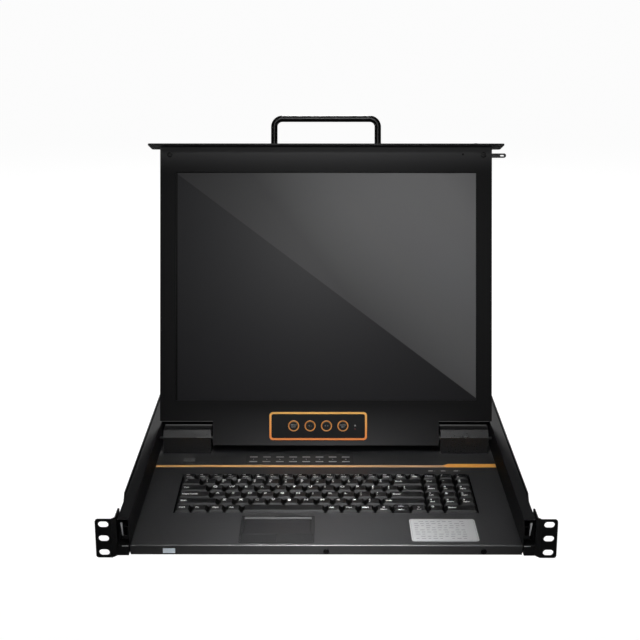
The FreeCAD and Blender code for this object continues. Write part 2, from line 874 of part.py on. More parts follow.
def handle():
    """Bar handle: two legs and a grip joined by quarter bends, with a many-sided round section."""
    half = handle_width / 2 - handle_radius
    base = lid_height + plate_thickness
    top = base + handle_reach - handle_radius
    bend = handle_bend
    y = (plate_behind - plate_ahead) / 2
    cut = bend * (1 - math.sqrt(0.5))
    points = [
        Vector(-half, y, base), Vector(-half, y, top - bend), Vector(-half + cut, y, top - cut),
        Vector(-half + bend, y, top), Vector(half - bend, y, top), Vector(half - cut, y, top - cut),
        Vector(half, y, top - bend), Vector(half, y, base),
    ]
    path = Part.Wire([
        Part.LineSegment(points[0], points[1]).toShape(),
        Part.Arc(points[1], points[2], points[3]).toShape(),
        Part.LineSegment(points[3], points[4]).toShape(),
        Part.Arc(points[4], points[5], points[6]).toShape(),
        Part.LineSegment(points[6], points[7]).toShape(),
    ])
    corners = [Vector(a, b, base) for a, b in polygon(-half, y, handle_sides, handle_radius)]
    return path.makePipeShell([Part.makePolygon(corners + corners[:1])], True, True)


def latch_bolt():
    """Sliding bolt with a round nose, an eye near the nose, and the knob that draws it."""
    z = about(latch_height, latch_width / 2)
    y = about(latch_depth, latch_thickness / 2)
    bar = block((latch_tail, latch_tip), y, z)
    nose = edges_along(bar, "y", lambda p: p.x > latch_tip - 0.1)
    bar = bar.makeFillet(latch_width * 0.48, nose)
    eye = slot("y", latch_tip - latch_eye_length, latch_height, (y[0] - 1, y[1] + 1), latch_eye_length,
               latch_eye_width)
    stem = (z[1], lid_height + plate_thickness + knob_reach)
    knob = many_sided("z", knob_x, latch_depth, knob_sides, stem, knob_radius)
    return fused([bar.cut(eye), knob])


def latch_guide():
    """Guide in the lid's top corner that the bolt slides through."""
    gap = latch_clearance
    wall = guide_wall
    x = (lid_half - shell_wall - guide_length, lid_half - shell_wall)
    body = block(x, (latch_depth - latch_thickness / 2 - gap - wall, lid_thickness - shell_wall),
                 about(latch_height, latch_width / 2 + gap + wall))
    way = block((x[0] - 1, x[1] + 1), about(latch_depth, latch_thickness / 2 + gap),
                about(latch_height, latch_width / 2 + gap))
    return body.cut(way)


# ---------------------------------------------------------------- switch box

def rear_pan():
    outer = block(about(0, slide_space), (box_front, chassis_depth), (panel_bottom, box_top))
    inner = block(about(0, slide_space - box_wall), (box_front + box_wall, chassis_depth + 1),
                  (box_floor, box_top + 1))
    return outer.cut(inner)


def box_cover():
    solid = block(about(0, slide_space), (box_front, chassis_depth), (box_top, side_wall_top))
    middle = (box_front + chassis_depth) / 2
    first = -vent_pitch * (vent_count - 1) / 2
    vents = []
    for index in range(vent_count):
        vents.append(block(about(first + index * vent_pitch, vent_width / 2), about(middle, vent_length / 2),
                           (box_top - 1, side_wall_top + 1)))
    return solid.cut(Part.makeCompound(vents))


def rear_panel():
    y = (chassis_depth - box_wall, chassis_depth)
    solid = block(about(0, slide_space - box_wall), y, (box_floor, box_top))
    through = (y[0] - 1, y[1] + 1)
    inlet = block(about(inlet_x, inlet_body_width / 2), through, about(port_height, inlet_body_height / 2))
    well = rocker_frame_wall
    switch = block(about(rocker_x, rocker_frame_width / 2 - well), through,
                   about(port_height, rocker_frame_height / 2 - well))
    return solid.cut(Part.makeCompound([inlet, switch]))


def video_ports():
    """Row of D-shaped video sockets, each on its flange between two hexagonal posts."""
    ports = []
    y = chassis_depth
    high = port_shell_width / 2
    low = high - port_shell_slant
    z = about(port_height, port_shell_height / 2)
    bevel = port_shell_slant
    for index in range(port_count):
        x = port_first_x + index * port_pitch
        flange = block(about(x, port_flange_width / 2), (y, y + port_flange_thickness),
                       about(port_height, port_flange_height / 2))
        outline = [
            (x - low, z[0]), (x + low, z[0]), (x + high, z[1] - bevel), (x + high - bevel, z[1]),
            (x - high + bevel, z[1]), (x - high, z[1] - bevel),
        ]
        shell = prism("y", outline, (y, y + port_shell_reach))
        posts = [many_sided("y", x + side * port_post_offset, port_height, 6, (y, y + port_post_reach),
                            port_post_radius) for side in (-1, 1)]
        ports.append(fused([flange, shell] + posts))
    return Part.makeCompound(ports)


def power_inlet():
    """Recessed mains inlet with three blades."""
    y = chassis_depth
    outer = y + inlet_flange_thickness
    flange = block(about(inlet_x, inlet_flange_width / 2), (y, outer),
                   about(port_height, inlet_flange_height / 2))
    flange = flange.makeChamfer(inlet_corner, edges_along(flange, "y"))
    body = block(about(inlet_x, inlet_body_width / 2), (y - inlet_body_depth, y),
                 about(port_height, inlet_body_height / 2))
    floor = outer - inlet_recess_depth
    recess = block(about(inlet_x, inlet_recess_width / 2), (floor, outer + 1),
                   about(port_height, inlet_recess_height / 2))
    upper = edges_along(recess, "y", lambda p: p.z > port_height)
    recess = recess.makeChamfer(inlet_corner, upper)
    solid = fused([flange, body]).cut(recess)
    blades = []
    for step in (-1, 0, 1):
        rise = inlet_blade_rise if step == 0 else -inlet_blade_rise * 0.5
        blades.append(block(about(inlet_x + step * inlet_blade_spacing, inlet_blade_width / 2),
                            (floor, floor + inlet_blade_length),
                            about(port_height + rise, inlet_blade_height / 2)))
    return fused([solid] + blades)


def rocker_housing():
    y = (chassis_depth - box_wall - rocker_well_depth, chassis_depth + rocker_frame_wall)
    wall = rocker_frame_wall
    x = about(rocker_x, rocker_frame_width / 2)
    z = about(port_height, rocker_frame_height / 2)
    frame = block(x, (chassis_depth, y[1]), z)
    body = block((x[0] + wall, x[1] - wall), (y[0], chassis_depth), (z[0] + wall, z[1] - wall))
    well = block((x[0] + 1.5 * wall, x[1] - 1.5 * wall), (y[0] + wall, y[1] + 1),
                 (z[0] + 1.5 * wall, z[1] - 1.5 * wall))
    bore = rod("x", (x[0], chassis_depth - rocker_pivot_depth, port_height), rocker_frame_width,
               rocker_pin_radius + rocker_pin_clearance)
    return fused([frame, body]).cut(well).cut(bore)


def rocker():
    """Rocker on a pin, with two faces that meet in a shallow V, resting with its upper face in."""
    reach = rocker_frame_height / 2 - 1.5 * rocker_frame_wall - rocker_side_gap * 2
    width = rocker_frame_width / 2 - 1.5 * rocker_frame_wall - rocker_side_gap
    pivot_y = chassis_depth - rocker_pivot_depth
    front = rocker_swing
    outline = [
        (pivot_y - 1.5, port_height - reach * 0.8), (pivot_y + front, port_height - reach * 0.9),
        (pivot_y + front - 1.8, port_height), (pivot_y + front, port_height + reach * 0.9),
        (pivot_y - 1.5, port_height + reach * 0.8),
    ]
    pin_half = rocker_frame_width / 2 - rocker_frame_wall
    pin = rod("x", (rocker_x - pin_half, pivot_y, port_height), 2 * pin_half, rocker_pin_radius)
    solid = fused([prism("x", outline, about(rocker_x, width)), pin])
    solid.rotate(Vector(rocker_x, pivot_y, port_height), AXES["x"], rocker_rest_angle)
    return solid


def switch_board():
    """Circuit board of the switch, on the floor standoffs of the box."""
    margin = board_margin
    x = (-slide_space + margin, rocker_x - margin)
    y = (chassis_depth - box_wall - board_depth, chassis_depth - box_wall)
    board = block(x, y, (box_floor + board_rise, box_floor + board_rise + board_thickness))
    posts = []
    post_half = board_post / 2
    for px in (x[0] + board_post, x[1] - board_post):
        for py in (y[0] + board_post, y[1] - board_post):
            posts.append(block(about(px, post_half), about(py, post_half),
                               (box_floor, box_floor + board_rise)))
    return fused([board] + posts)


# ---------------------------------------------------------------- small deck parts

def port_keypad():
    sheet_pad = block((keypad_left, keypad_right), (keypad_front, keypad_rear),
                      (deck_top, deck_top + keypad_thickness))
    return sheet_pad.makeChamfer(keypad_corner, edges_along(sheet_pad, "z"))


def aux_port_cover():
    lid = block(about(cover_plate_x, cover_plate_width / 2), about(cover_plate_y, cover_plate_depth / 2),
                (deck_top, deck_top + cover_plate_thickness))
    return lid.makeChamfer(cover_plate_thickness / 2, edges_along(lid, "z"))


# ---------------------------------------------------------------- write every piece

os.makedirs("parts", exist_ok=True)

write("ear_right", ear(True))
write("ear_left", mirrored(ear(False)))
write_pair("side_wall", side_wall())
write_pair("slide_outer", slide_outer())
write_pair("slide_middle", slide_middle())
write_pair("slide_inner", slide_inner())

write("tray_pan", tray_pan())
write("deck_panel", deck_panel())
write_pair("tray_wall", tray_wall())
write("tray_rear_cover", rear_cover())
write("port_keypad", port_keypad())
write("aux_port_cover", aux_port_cover())

key_rows = keyboard_rows()
write("keyboard_base", keyboard_base(key_rows))
for row_name, row_keys in key_rows:
    write(row_name, Part.makeCompound([keycap(*key) for key in row_keys]))

write("touchpad_frame", touchpad_frame())
write("touch_pad", touch_pad())
write("touch_button_left", touch_button(-1))
write("touch_button_right", touch_button(1))

write_pair("hinge_cover", hinge_cover())
write_pair("hinge_bracket", hinge_bracket())
write("hinge_shafts", hinge_shafts())

write("lid_shell", on_hinge(lid_shell()))
write("lid_bezel", on_hinge(lid_bezel()))
write("lcd_panel", on_hinge(lcd_panel()))
write("osd_overlay", on_hinge(osd_overlay()))
for number, place in enumerate(osd_button_places(), 1):
    write("osd_button_" + str(number), on_hinge(osd_button(place)))
write("front_plate", on_hinge(front_plate()))
write("handle", on_hinge(handle()))
write("latch_guide", on_hinge(latch_guide()))
write("latch_bolt", on_hinge(latch_bolt()))

write("rear_pan", rear_pan())
write("rear_cover", box_cover())
write("rear_panel", rear_panel())
write("video_ports", video_ports())
write("power_inlet", power_inlet())
write("rocker_housing", rocker_housing())
write("rocker", rocker())
write("switch_board", switch_board())
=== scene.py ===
import json
import math

import bpy
from mathutils import Matrix, Vector

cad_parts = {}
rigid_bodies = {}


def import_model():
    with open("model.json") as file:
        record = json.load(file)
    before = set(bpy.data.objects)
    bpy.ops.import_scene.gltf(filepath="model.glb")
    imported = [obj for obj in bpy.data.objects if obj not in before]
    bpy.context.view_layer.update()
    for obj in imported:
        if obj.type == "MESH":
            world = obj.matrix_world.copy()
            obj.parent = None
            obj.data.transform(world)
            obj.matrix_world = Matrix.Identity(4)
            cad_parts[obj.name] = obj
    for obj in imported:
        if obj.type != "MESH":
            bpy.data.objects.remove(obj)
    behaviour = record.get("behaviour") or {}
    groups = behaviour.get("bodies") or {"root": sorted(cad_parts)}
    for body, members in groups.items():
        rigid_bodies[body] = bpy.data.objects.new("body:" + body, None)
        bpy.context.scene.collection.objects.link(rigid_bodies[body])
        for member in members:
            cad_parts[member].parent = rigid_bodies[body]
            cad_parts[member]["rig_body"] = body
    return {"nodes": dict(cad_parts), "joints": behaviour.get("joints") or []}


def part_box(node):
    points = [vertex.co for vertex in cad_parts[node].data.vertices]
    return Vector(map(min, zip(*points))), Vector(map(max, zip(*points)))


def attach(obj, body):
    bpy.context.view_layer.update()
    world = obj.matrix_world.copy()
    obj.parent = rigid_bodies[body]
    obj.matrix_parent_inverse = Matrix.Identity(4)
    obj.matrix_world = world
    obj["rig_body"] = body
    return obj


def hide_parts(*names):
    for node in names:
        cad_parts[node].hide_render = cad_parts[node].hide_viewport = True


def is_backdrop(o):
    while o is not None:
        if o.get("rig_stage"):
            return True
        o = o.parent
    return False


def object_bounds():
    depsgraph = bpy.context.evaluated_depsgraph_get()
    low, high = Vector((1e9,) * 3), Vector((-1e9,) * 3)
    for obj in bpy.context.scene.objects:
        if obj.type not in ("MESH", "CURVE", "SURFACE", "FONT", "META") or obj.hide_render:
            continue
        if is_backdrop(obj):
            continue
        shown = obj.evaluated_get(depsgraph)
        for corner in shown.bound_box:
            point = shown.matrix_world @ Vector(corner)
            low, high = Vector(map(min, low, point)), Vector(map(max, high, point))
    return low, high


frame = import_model()
cad_low, cad_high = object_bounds()

# ---------------------------------------------------------------- ears and side walls
# The two rack ears and the fixed side walls: cold-rolled steel, laser cut, bent on a
# press brake and powder coated in fine black.  They carry the whole drawer in the rack.


class Wire:
    """A node socket that carries a value, with the arithmetic to combine it."""

    def __init__(self, tree, socket):
        self.tree = tree
        self.socket = socket

    def into(self, socket):
        """Link the value to a socket."""
        self.tree.links.new(self.socket, socket)

    def maths(self, operation, first, second):
        return add_node(self.tree, "ShaderNodeMath", {"operation": operation}, {0: first, 1: second})

    def __add__(self, other):
        return self.maths("ADD", self, other)

    def __radd__(self, other):
        return self.maths("ADD", other, self)

    def __sub__(self, other):
        return self.maths("SUBTRACT", self, other)

    def __rsub__(self, other):
        return self.maths("SUBTRACT", other, self)

    def __mul__(self, other):
        return self.maths("MULTIPLY", self, other)

    def __rmul__(self, other):
        return self.maths("MULTIPLY", other, self)

    def __gt__(self, other):
        return self.maths("GREATER_THAN", self, other)

    def __lt__(self, other):
        return self.maths("LESS_THAN", self, other)

    def __abs__(self):
        return self.maths("ABSOLUTE", self, 0.0)


def add_node(tree, kind, settings, sockets, output=0):
    """Add a node: its settings come first, then the values or wires of its sockets."""
    made = tree.nodes.new(kind)
    for name, value in settings.items():
        setattr(made, name, value)
    for key, value in sockets.items():
        if isinstance(value, Wire):
            value.into(made.inputs[key])
        else:
            made.inputs[key].default_value = value
    return Wire(tree, made.outputs[output])


class Finish:
    """A surface finish: one Principled shader and the nodes that vary it over the piece."""

    def __init__(self, name, constants):
        self.material = bpy.data.materials.new(name)
        self.material.use_nodes = True
        self.tree = self.material.node_tree
        self.shader = self.tree.nodes["Principled BSDF"]
        for socket, value in constants.items():
            self.shader.inputs[socket].default_value = value
        self.place = self.node("ShaderNodeTexCoord", {}, {}, "Object")

    def node(self, kind, settings, sockets, output=0):
        return add_node(self.tree, kind, settings, sockets, output)

    def noise(self, scale, detail=2.0):
        """Noise that stays with the piece."""
        return self.node("ShaderNodeTexNoise", {}, {"Vector": self.place, "Scale": scale, "Detail": detail})

    def mix(self, share, first, second):
        """Colour between two colours."""
        return self.node("ShaderNodeMix", {"data_type": "RGBA"}, {0: share, 6: first, 7: second}, 2)

    def ramp(self, value, start, end):
        """Share that rises from 0 to 1 while a value goes from its start to its end."""
        return self.node("ShaderNodeMapRange", {}, {"Value": value, "From Min": start, "From Max": end})

    def axes(self):
        """The three Object coordinates."""
        split = self.node("ShaderNodeSeparateXYZ", {}, {"Vector": self.place})
        return [Wire(self.tree, socket) for socket in split.socket.node.outputs]

    def feed(self, socket, wire):
        wire.into(self.shader.inputs[socket])

    def bump(self, height, depth):
        self.feed("Normal", self.node("ShaderNodeBump", {}, {"Height": height, "Distance": depth}))


def chart(red, green, blue):
    """Linear colour of three 0 to 255 values on a colour chart."""
    linear = [((value / 255 + 0.055) / 1.055) ** 2.4 for value in (red, green, blue)]
    return (*linear, 1.0)


def powder_coat(name, dark, light, rough, sheen):
    """Baked powder coat: orange-peel grain, faint cloudiness and slightly uneven gloss."""
    coat = Finish(name, {"Specular IOR Level": sheen})
    cloud = coat.noise(7.0, 3.0)
    grain = coat.noise(900.0, 1.0)
    coat.feed("Base Color", coat.mix(cloud * 0.7 + grain * 0.3, dark, light))
    coat.feed("Roughness", rough + (cloud - 0.5) * 0.12 + (grain - 0.5) * 0.1)
    coat.bump(grain, 0.00006)
    return coat


def only(*pieces):
    """Leave just these pieces selected, the first of them active."""
    bpy.ops.object.select_all(action="DESELECT")
    for piece in pieces:
        piece.select_set(True)
    if pieces:
        bpy.context.view_layer.objects.active = pieces[0]


def applied(piece, modifier):
    """Apply one of a piece's modifiers."""
    only(piece)
    bpy.ops.object.modifier_apply(modifier=modifier.name)


def painted(piece, finish):
    """Give a piece its finish."""
    piece.data.materials.clear()
    piece.data.materials.append(finish.material)


def own(piece, body, finish):
    """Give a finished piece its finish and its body."""
    painted(piece, finish)
    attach(piece, body)
    return piece


def eased(node, finish, edge):
    """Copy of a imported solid, merged, with its sharp edges broken as on the real piece."""
    source = frame["nodes"][node]
    piece = bpy.data.objects.new(node + "_finished", source.data.copy())
    bpy.context.scene.collection.objects.link(piece)
    only(piece)
    bpy.ops.mesh.customdata_custom_splitnormals_clear()
    bpy.ops.object.mode_set(mode="EDIT")
    bpy.ops.mesh.select_all(action="SELECT")
    bpy.ops.mesh.remove_doubles(threshold=0.00001)
    bpy.ops.mesh.dissolve_limited(angle_limit=math.radians(0.6))
    bpy.ops.object.mode_set(mode="OBJECT")
    bevel = piece.modifiers.new("broken edges", "BEVEL")
    bevel.width = edge
    bevel.segments = 3
    bevel.angle_limit = math.radians(38)
    applied(piece, bevel)
    bpy.ops.object.shade_smooth_by_angle(angle=math.radians(38))
    weight = piece.modifiers.new("flat faces", "WEIGHTED_NORMAL")
    weight.keep_sharp = True
    applied(piece, weight)
    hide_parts(node)
    return own(piece, source["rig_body"], finish)


black_coat = powder_coat("black powder coat", chart(20, 20, 21), chart(28, 28, 29), 0.52, 0.25)
for side in ("left", "right"):
    eased("ear_" + side, black_coat, 0.0003)
    eased("side_wall_" + side, black_coat, 0.0003)

# ---------------------------------------------------------------- slides
# Three-member telescopic slides: cold-formed steel, blackened, with ball cages.  The
# outer member is fixed to the side wall and the inner one is riveted to the drawer.

slide_coat = powder_coat("black slide coat", chart(18, 18, 19), chart(26, 26, 27), 0.38, 0.3)
for side in ("left", "right"):
    eased("slide_outer_" + side, slide_coat, 0.0002)
    eased("slide_middle_" + side, slide_coat, 0.0002)
    eased("slide_inner_" + side, slide_coat, 0.0002)

# ---------------------------------------------------------------- drawer tray
# The moving tray: pan, deck, two walls and the raised cover over the cable space, all
# folded steel sheet, powder coated and screwed together before the keyboard goes in.

deck_coat = powder_coat("deck powder coat", chart(48, 48, 49), chart(57, 57, 58), 0.34, 0.5)
wall_coat = powder_coat("tray wall coat", chart(30, 30, 31), chart(39, 39, 40), 0.55, 0.2)
eased("tray_pan", black_coat, 0.0003)
eased("deck_panel", deck_coat, 0.0003)
eased("tray_rear_cover", black_coat, 0.0003)
for side in ("left", "right"):
    eased("tray_wall_" + side, wall_coat, 0.00025)

# ---------------------------------------------------------------- release springs
# At the front end of each slide a leaf of spring steel lets the drawer off its stop.  It
# is bare and bowed.  The thin bright strip on the front end of the box rail below it is a
# painted highlight on the rail's top edge.


def joined(pieces, name):
    """Join finished pieces into one under a name."""
    only(*pieces)
    bpy.ops.object.join()
    pieces[0].name = name
    return pieces[0]


def settled(piece):
    """Put a piece's place, turn and scale into its mesh."""
    only(piece)
    bpy.ops.object.transform_apply(location=True, rotation=True, scale=True)
    return piece


def pick(piece, mode, accept):
    """Select the faces or edges of a piece in edit mode that a test accepts."""
    bpy.ops.mesh.select_mode(type=mode)
    bpy.ops.mesh.select_all(action="DESELECT")
    bpy.ops.object.mode_set(mode="OBJECT")
    mesh = piece.data
    if mode == "FACE":
        for face in mesh.polygons:
            face.select = accept(face.center, face.normal)
    else:
        for edge in mesh.edges:
            ends = [mesh.vertices[index].co for index in edge.vertices]
            edge.select = accept((ends[0] + ends[1]) / 2, ends[1] - ends[0])
    bpy.ops.object.mode_set(mode="EDIT")


def block(centre, size, lean=0.0, spin=0.0):
    """Block about a centre, leaned about Y and spun about Z by some degrees."""
    only()
    bpy.ops.mesh.primitive_cube_add(size=1, location=centre)
    solid = bpy.context.object
    solid.scale = size
    solid.rotation_euler = (0, math.radians(lean), math.radians(spin))
    return settled(solid)


leaf_x = 0.2140
leaf_lean = 5
leaf_tip = 0.35
rail_x = 0.21125
leaf_steel_and_rail_highlight = powder_coat("bright spring leaf and rail highlight", chart(206, 206, 208), chart(236, 236, 238), 0.3, 0.6)
for side, name in ((-1, "left"), (1, "right")):
    leaf = block((side * leaf_x, 0.0044, 0.0079), (0.0022, 0.0006, 0.0150), side * leaf_lean)
    bpy.ops.object.mode_set(mode="EDIT")
    pick(leaf, "FACE", lambda centre, normal: normal.z < -0.9)
    bpy.ops.transform.resize(value=(leaf_tip, 1, 1))
    bpy.ops.object.mode_set(mode="OBJECT")
    # Thin bright strip on the rail's front end: a painted highlight on its top edge.
    edge = block((side * rail_x, 0.0028, -0.0108), (0.0069, 0.0004, 0.0008))
    for piece, title, body in ((leaf, "release_spring_", "drawer"), (edge, "rail_highlight_", "chassis")):
        broken = piece.modifiers.new("broken edges", "BEVEL")
        broken.width = 0.0001
        applied(piece, broken)
        piece.name = title + name
        own(piece, body, leaf_steel_and_rail_highlight)

# ---------------------------------------------------------------- screws
# Cross-recessed pan-head machine screws, blackened steel.  They hold the deck's front
# lip, the ears, the side walls and the lid bezel, and stand a millimetre proud.


def copied(piece, name, place):
    """Copy of a piece with its own mesh, set at a place."""
    twin = bpy.data.objects.new(name, piece.data.copy())
    bpy.context.scene.collection.objects.link(twin)
    twin.data.transform(place)
    return twin


def rounded(piece, limit):
    """Shade a piece smooth but for edges sharper than a limit in degrees."""
    only(piece)
    bpy.ops.object.shade_smooth_by_angle(angle=math.radians(limit))
    return piece


def carve(piece, tool):
    """Take the form of a tool out of a piece, and remove the tool."""
    cut = piece.modifiers.new("cut", "BOOLEAN")
    cut.operation = "DIFFERENCE"
    cut.object = tool
    applied(piece, cut)
    bpy.data.objects.remove(tool)


def pillar(sides, radius, length, centre=(0, 0, 0)):
    """Upright prism with this many sides."""
    only()
    bpy.ops.mesh.primitive_cylinder_add(vertices=sides, radius=radius, depth=length, location=centre)
    return settled(bpy.context.object)


def pan_head(name, radius, height):
    """Pan head with a cross recess, standing on Z 0 over the origin."""
    head = pillar(32, radius, height, (0, 0, height / 2))
    head.name = name
    bpy.ops.object.mode_set(mode="EDIT")
    pick(head, "EDGE", lambda centre, run: centre.z > height * 0.9)
    bpy.ops.mesh.bevel(offset=height * 0.7, segments=4)
    bpy.ops.object.mode_set(mode="OBJECT")
    for turn in (0, 90):
        carve(head, block((0, 0, height), (radius * 1.1, radius * 0.26, height * 1.2), spin=turn))
    return rounded(head, 40)


def facing(direction, where, spin=0.0):
    """Place that turns a piece's Z to a direction and moves it there."""
    turn = Vector(direction).to_track_quat("Z", "Y").to_matrix().to_4x4()
    return Matrix.Translation(where) @ turn @ Matrix.Rotation(math.radians(spin), 4, "Z")


def clouded(name, dark, light, scale, constants, rough, uneven=0.0):
    """Finish whose colour drifts between two tones, and whose gloss may drift with it."""
    finish = Finish(name, {**constants, "Roughness": rough})
    cloud = finish.noise(scale)
    finish.feed("Base Color", finish.mix(cloud, dark, light))
    if uneven:
        finish.feed("Roughness", rough + cloud * uneven)
    return finish


screw_black = clouded("blackened screw", chart(22, 22, 23), chart(40, 40, 42), 700.0,
                      {"Metallic": 0.9}, 0.34, 0.15)
screw = pan_head("screw_pattern", 0.0033, 0.0010)

ear_clearance = 0.000375
unit_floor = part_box("ear_right")[0].z - ear_clearance
lip_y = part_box("deck_panel")[0].y
lip_screw_z = unit_floor + 0.0046
lip_screws = [
    copied(screw, "lip", facing((0, -1, 0), (x, lip_y, lip_screw_z), spin))
    for x, spin in ((0.0, 8), (0.166, 35))
]
own(joined(lip_screws, "lip_screws"), "drawer", screw_black)

wall_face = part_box("side_wall_right")[1].x
leg_face = 0.2215
side_screw_z = unit_floor + 0.026
any_turn = 900
for side, name in ((-1, "left"), (1, "right")):
    heads = [
        copied(screw, "side", facing((side, 0, 0), (side * wall_face, y, side_screw_z), y * any_turn))
        for y in (0.12, 0.28, 0.44)
    ]
    heads += [
        copied(screw, "leg", facing((side, 0, 0), (side * leg_face, 0.020, unit_floor + z), z * any_turn))
        for z in (0.010, 0.034)
    ]
    own(joined(heads, "wall_screws_" + name), "chassis", screw_black)

# ---------------------------------------------------------------- keyboard
# Membrane keyboard: black ABS caps with a shallow dished top, moulded and then printed
# white.  Each cap stands on a square plunger in a guide pocket of the base plate.

key_gap = 0.001
key_taper = 0.0022
flank_taper = 1.25
cap_height = 0.004
cap_corner = 0.0007
cap_edge = 0.0004
cap_dish = 0.0003
dish_rim = 0.0011
plunger_width = 0.005
plunger_length = 0.0039
plunger_middle = -0.0019

key_abs = Finish("black ABS key", {"Specular IOR Level": 0.05, "Coat Roughness": 0.34})
key_grain = key_abs.noise(2600.0, 1.0)
key_shade = key_abs.noise(18.0)
key_top_tone = key_abs.mix(key_shade, chart(27, 27, 28), chart(35, 35, 36))
key_flank = key_abs.node("ShaderNodeAttribute", {"attribute_name": "flank"}, {}, "Fac")
# The flanks of the caps are painted near-black, a painted shade where neighbouring caps shadow each other;
# they are also rougher and lose the coat.
key_abs.feed("Base Color", key_abs.mix(key_flank, key_top_tone, chart(7, 7, 7)))
key_abs.feed("Roughness", 0.36 + key_grain * 0.12 + key_flank * 0.3)
key_abs.feed("Coat Weight", 0.2 - key_flank * 0.2)
key_abs.bump(key_grain, 0.00003)

matt_print = {"Specular IOR Level": 0.2}
legend_ink = clouded("white key print", chart(226, 226, 226), chart(250, 250, 248), 1200.0, matt_print, 0.6)
base_plastic = clouded("black base moulding", chart(5, 5, 5), chart(9, 9, 9), 1500.0,
                       {"Specular IOR Level": 0.05}, 0.6)
painted(frame["nodes"]["keyboard_base"], base_plastic)


def cap_taper(depth):
    """How far a cap of some depth draws in at each end on its way up."""
    return min(key_taper, depth / 8)


def key_pattern(width, depth):
    """One cap and its plunger, with the middle of the cap's foot on the origin."""
    cap = block((0, 0, cap_height / 2), (width, depth, cap_height))
    taper = cap_taper(depth)
    bpy.ops.object.mode_set(mode="EDIT")
    pick(cap, "FACE", lambda centre, normal: normal.z > 0.9)
    bpy.ops.transform.resize(value=(1 - 2 * flank_taper * taper / width, 1 - 2 * taper / depth, 1))
    pick(cap, "EDGE", lambda centre, run: abs(run.z) > abs(run.x) + abs(run.y))
    bpy.ops.mesh.bevel(offset=cap_corner, segments=3)
    pick(cap, "EDGE", lambda centre, run: centre.z > cap_height * 0.99)
    bpy.ops.mesh.bevel(offset=cap_edge, segments=2)
    pick(cap, "FACE", lambda centre, normal: normal.z > 0.99 and centre.z > cap_height * 0.99)
    bpy.ops.mesh.inset(thickness=min(dish_rim, depth / 9), depth=-cap_dish)
    bpy.ops.mesh.select_all(action="DESELECT")
    bpy.ops.mesh.primitive_cube_add(size=plunger_width, location=(0, 0, plunger_middle))
    bpy.ops.transform.resize(value=(1, 1, plunger_length / plunger_width))
    bpy.ops.object.mode_set(mode="OBJECT")
    # Side faces are marked as flanks, which the key finish paints dark as painted shade.
    flank = cap.data.attributes.new("flank", "FLOAT", "FACE")
    for face in cap.data.polygons:
        flank.data[face.index].value = float(abs(face.normal.x) > 0.35)
    return rounded(cap, 30)


def printed(text, size, place, bold=0.0, align=("CENTER", "CENTER")):
    """Lettering as a thin solid on the XY plane, set at a place."""
    curve = bpy.data.curves.new("lettering", "FONT")
    curve.body = text
    curve.size = size
    curve.extrude = 0.000015
    curve.offset = bold
    curve.resolution_u = 2
    curve.space_line = 0.95
    curve.align_x, curve.align_y = align
    written = bpy.data.objects.new("lettering", curve)
    bpy.context.scene.collection.objects.link(written)
    only(written)
    bpy.ops.object.convert(target="MESH")
    written = bpy.context.object
    written.data.transform(place)
    return written


legends = {
    "keys_function": ["Esc"] + ["F" + str(number) for number in range(1, 13)] + ["Prt", "Scr", "Brk", "Ins"],
    "keys_number": [*"~!@#$%^&*()_+", "Back"],
    "keys_tab": ["Tab", *"QWERTYUIOP", "{", "}", "|"],
    "keys_home": ["Caps Lock", *"ASDFGHJKL", ":", '"', "Enter"],
    "keys_shift": ["Shift", *"ZXCVBNM", "<", ">", "?", "Shift"],
    "keys_bottom": ["Ctrl", "Fn", "Opt", "Alt", "Alt", "Opt", "Ctrl", "<", "v", "^", ">"],
    "key_space": [""],
    "keys_numpad": ["Num", "/", "*", "Del", "-", "+", *"789", *"456", *"123", "0", "Enter"],
}
second_signs = dict(zip("~!@#$%^&*()_+{}|:\"?", "`1234567890-=[]\\;'/"))
second_signs.update({"7": "Home", "8": "Up", "9": "PgUp", "4": "Left", "6": "Right",
                     "1": "End", "2": "Down", "3": "PgDn"})
function_words = ("Mute", "Dim", "Lock", "Find")
arrow_words = {"<": "Home", ">": "End", "^": "PgUp", "v": "PgDn"}

letter_size = 0.0062
arrow_size = 0.0052
sign_size = 0.0047
second_sign_size = 0.0046
word_size = 0.0042
function_size = 0.0034
second_word_size = 0.0032
small_word_size = 0.0030

row_pitch = 0.0182
main_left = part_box("keys_number")[0].x - key_gap / 2
pad_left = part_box("keys_numpad")[0].x - key_gap / 2
pad_pitch = (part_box("keys_numpad")[1].x - pad_left + key_gap / 2) / 3
keys_across = 15.34
main_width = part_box("keys_number")[1].x - main_left + key_gap / 2
key_width = main_width / keys_across
function_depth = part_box("keys_function")[1].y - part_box("keys_function")[0].y + key_gap
small_key = 1.02 * key_width
space_key = 5.06 * key_width
arrow_left = main_left + 4 * small_key + space_key + 3 * key_width
arrow_key = (main_left + main_width - arrow_left) / 3

shares = {
    "keys_function": [keys_across / 17] * 17,
    "keys_number": [keys_across - 14] + [1] * 12 + [2],
    "keys_tab": [keys_across - 13.5] + [1] * 12 + [1.5],
    "keys_home": [keys_across - 13.25] + [1] * 11 + [2.25],
    "keys_shift": [keys_across - 12.75] + [1] * 10 + [2.75],
}


def side_by_side(left, widths, middle, depth):
    """Keys of the given widths from a left edge, as centre X and Y, width and depth."""
    keys = []
    for width in widths:
        keys.append((left + width / 2, middle, width, depth))
        left += width
    return keys


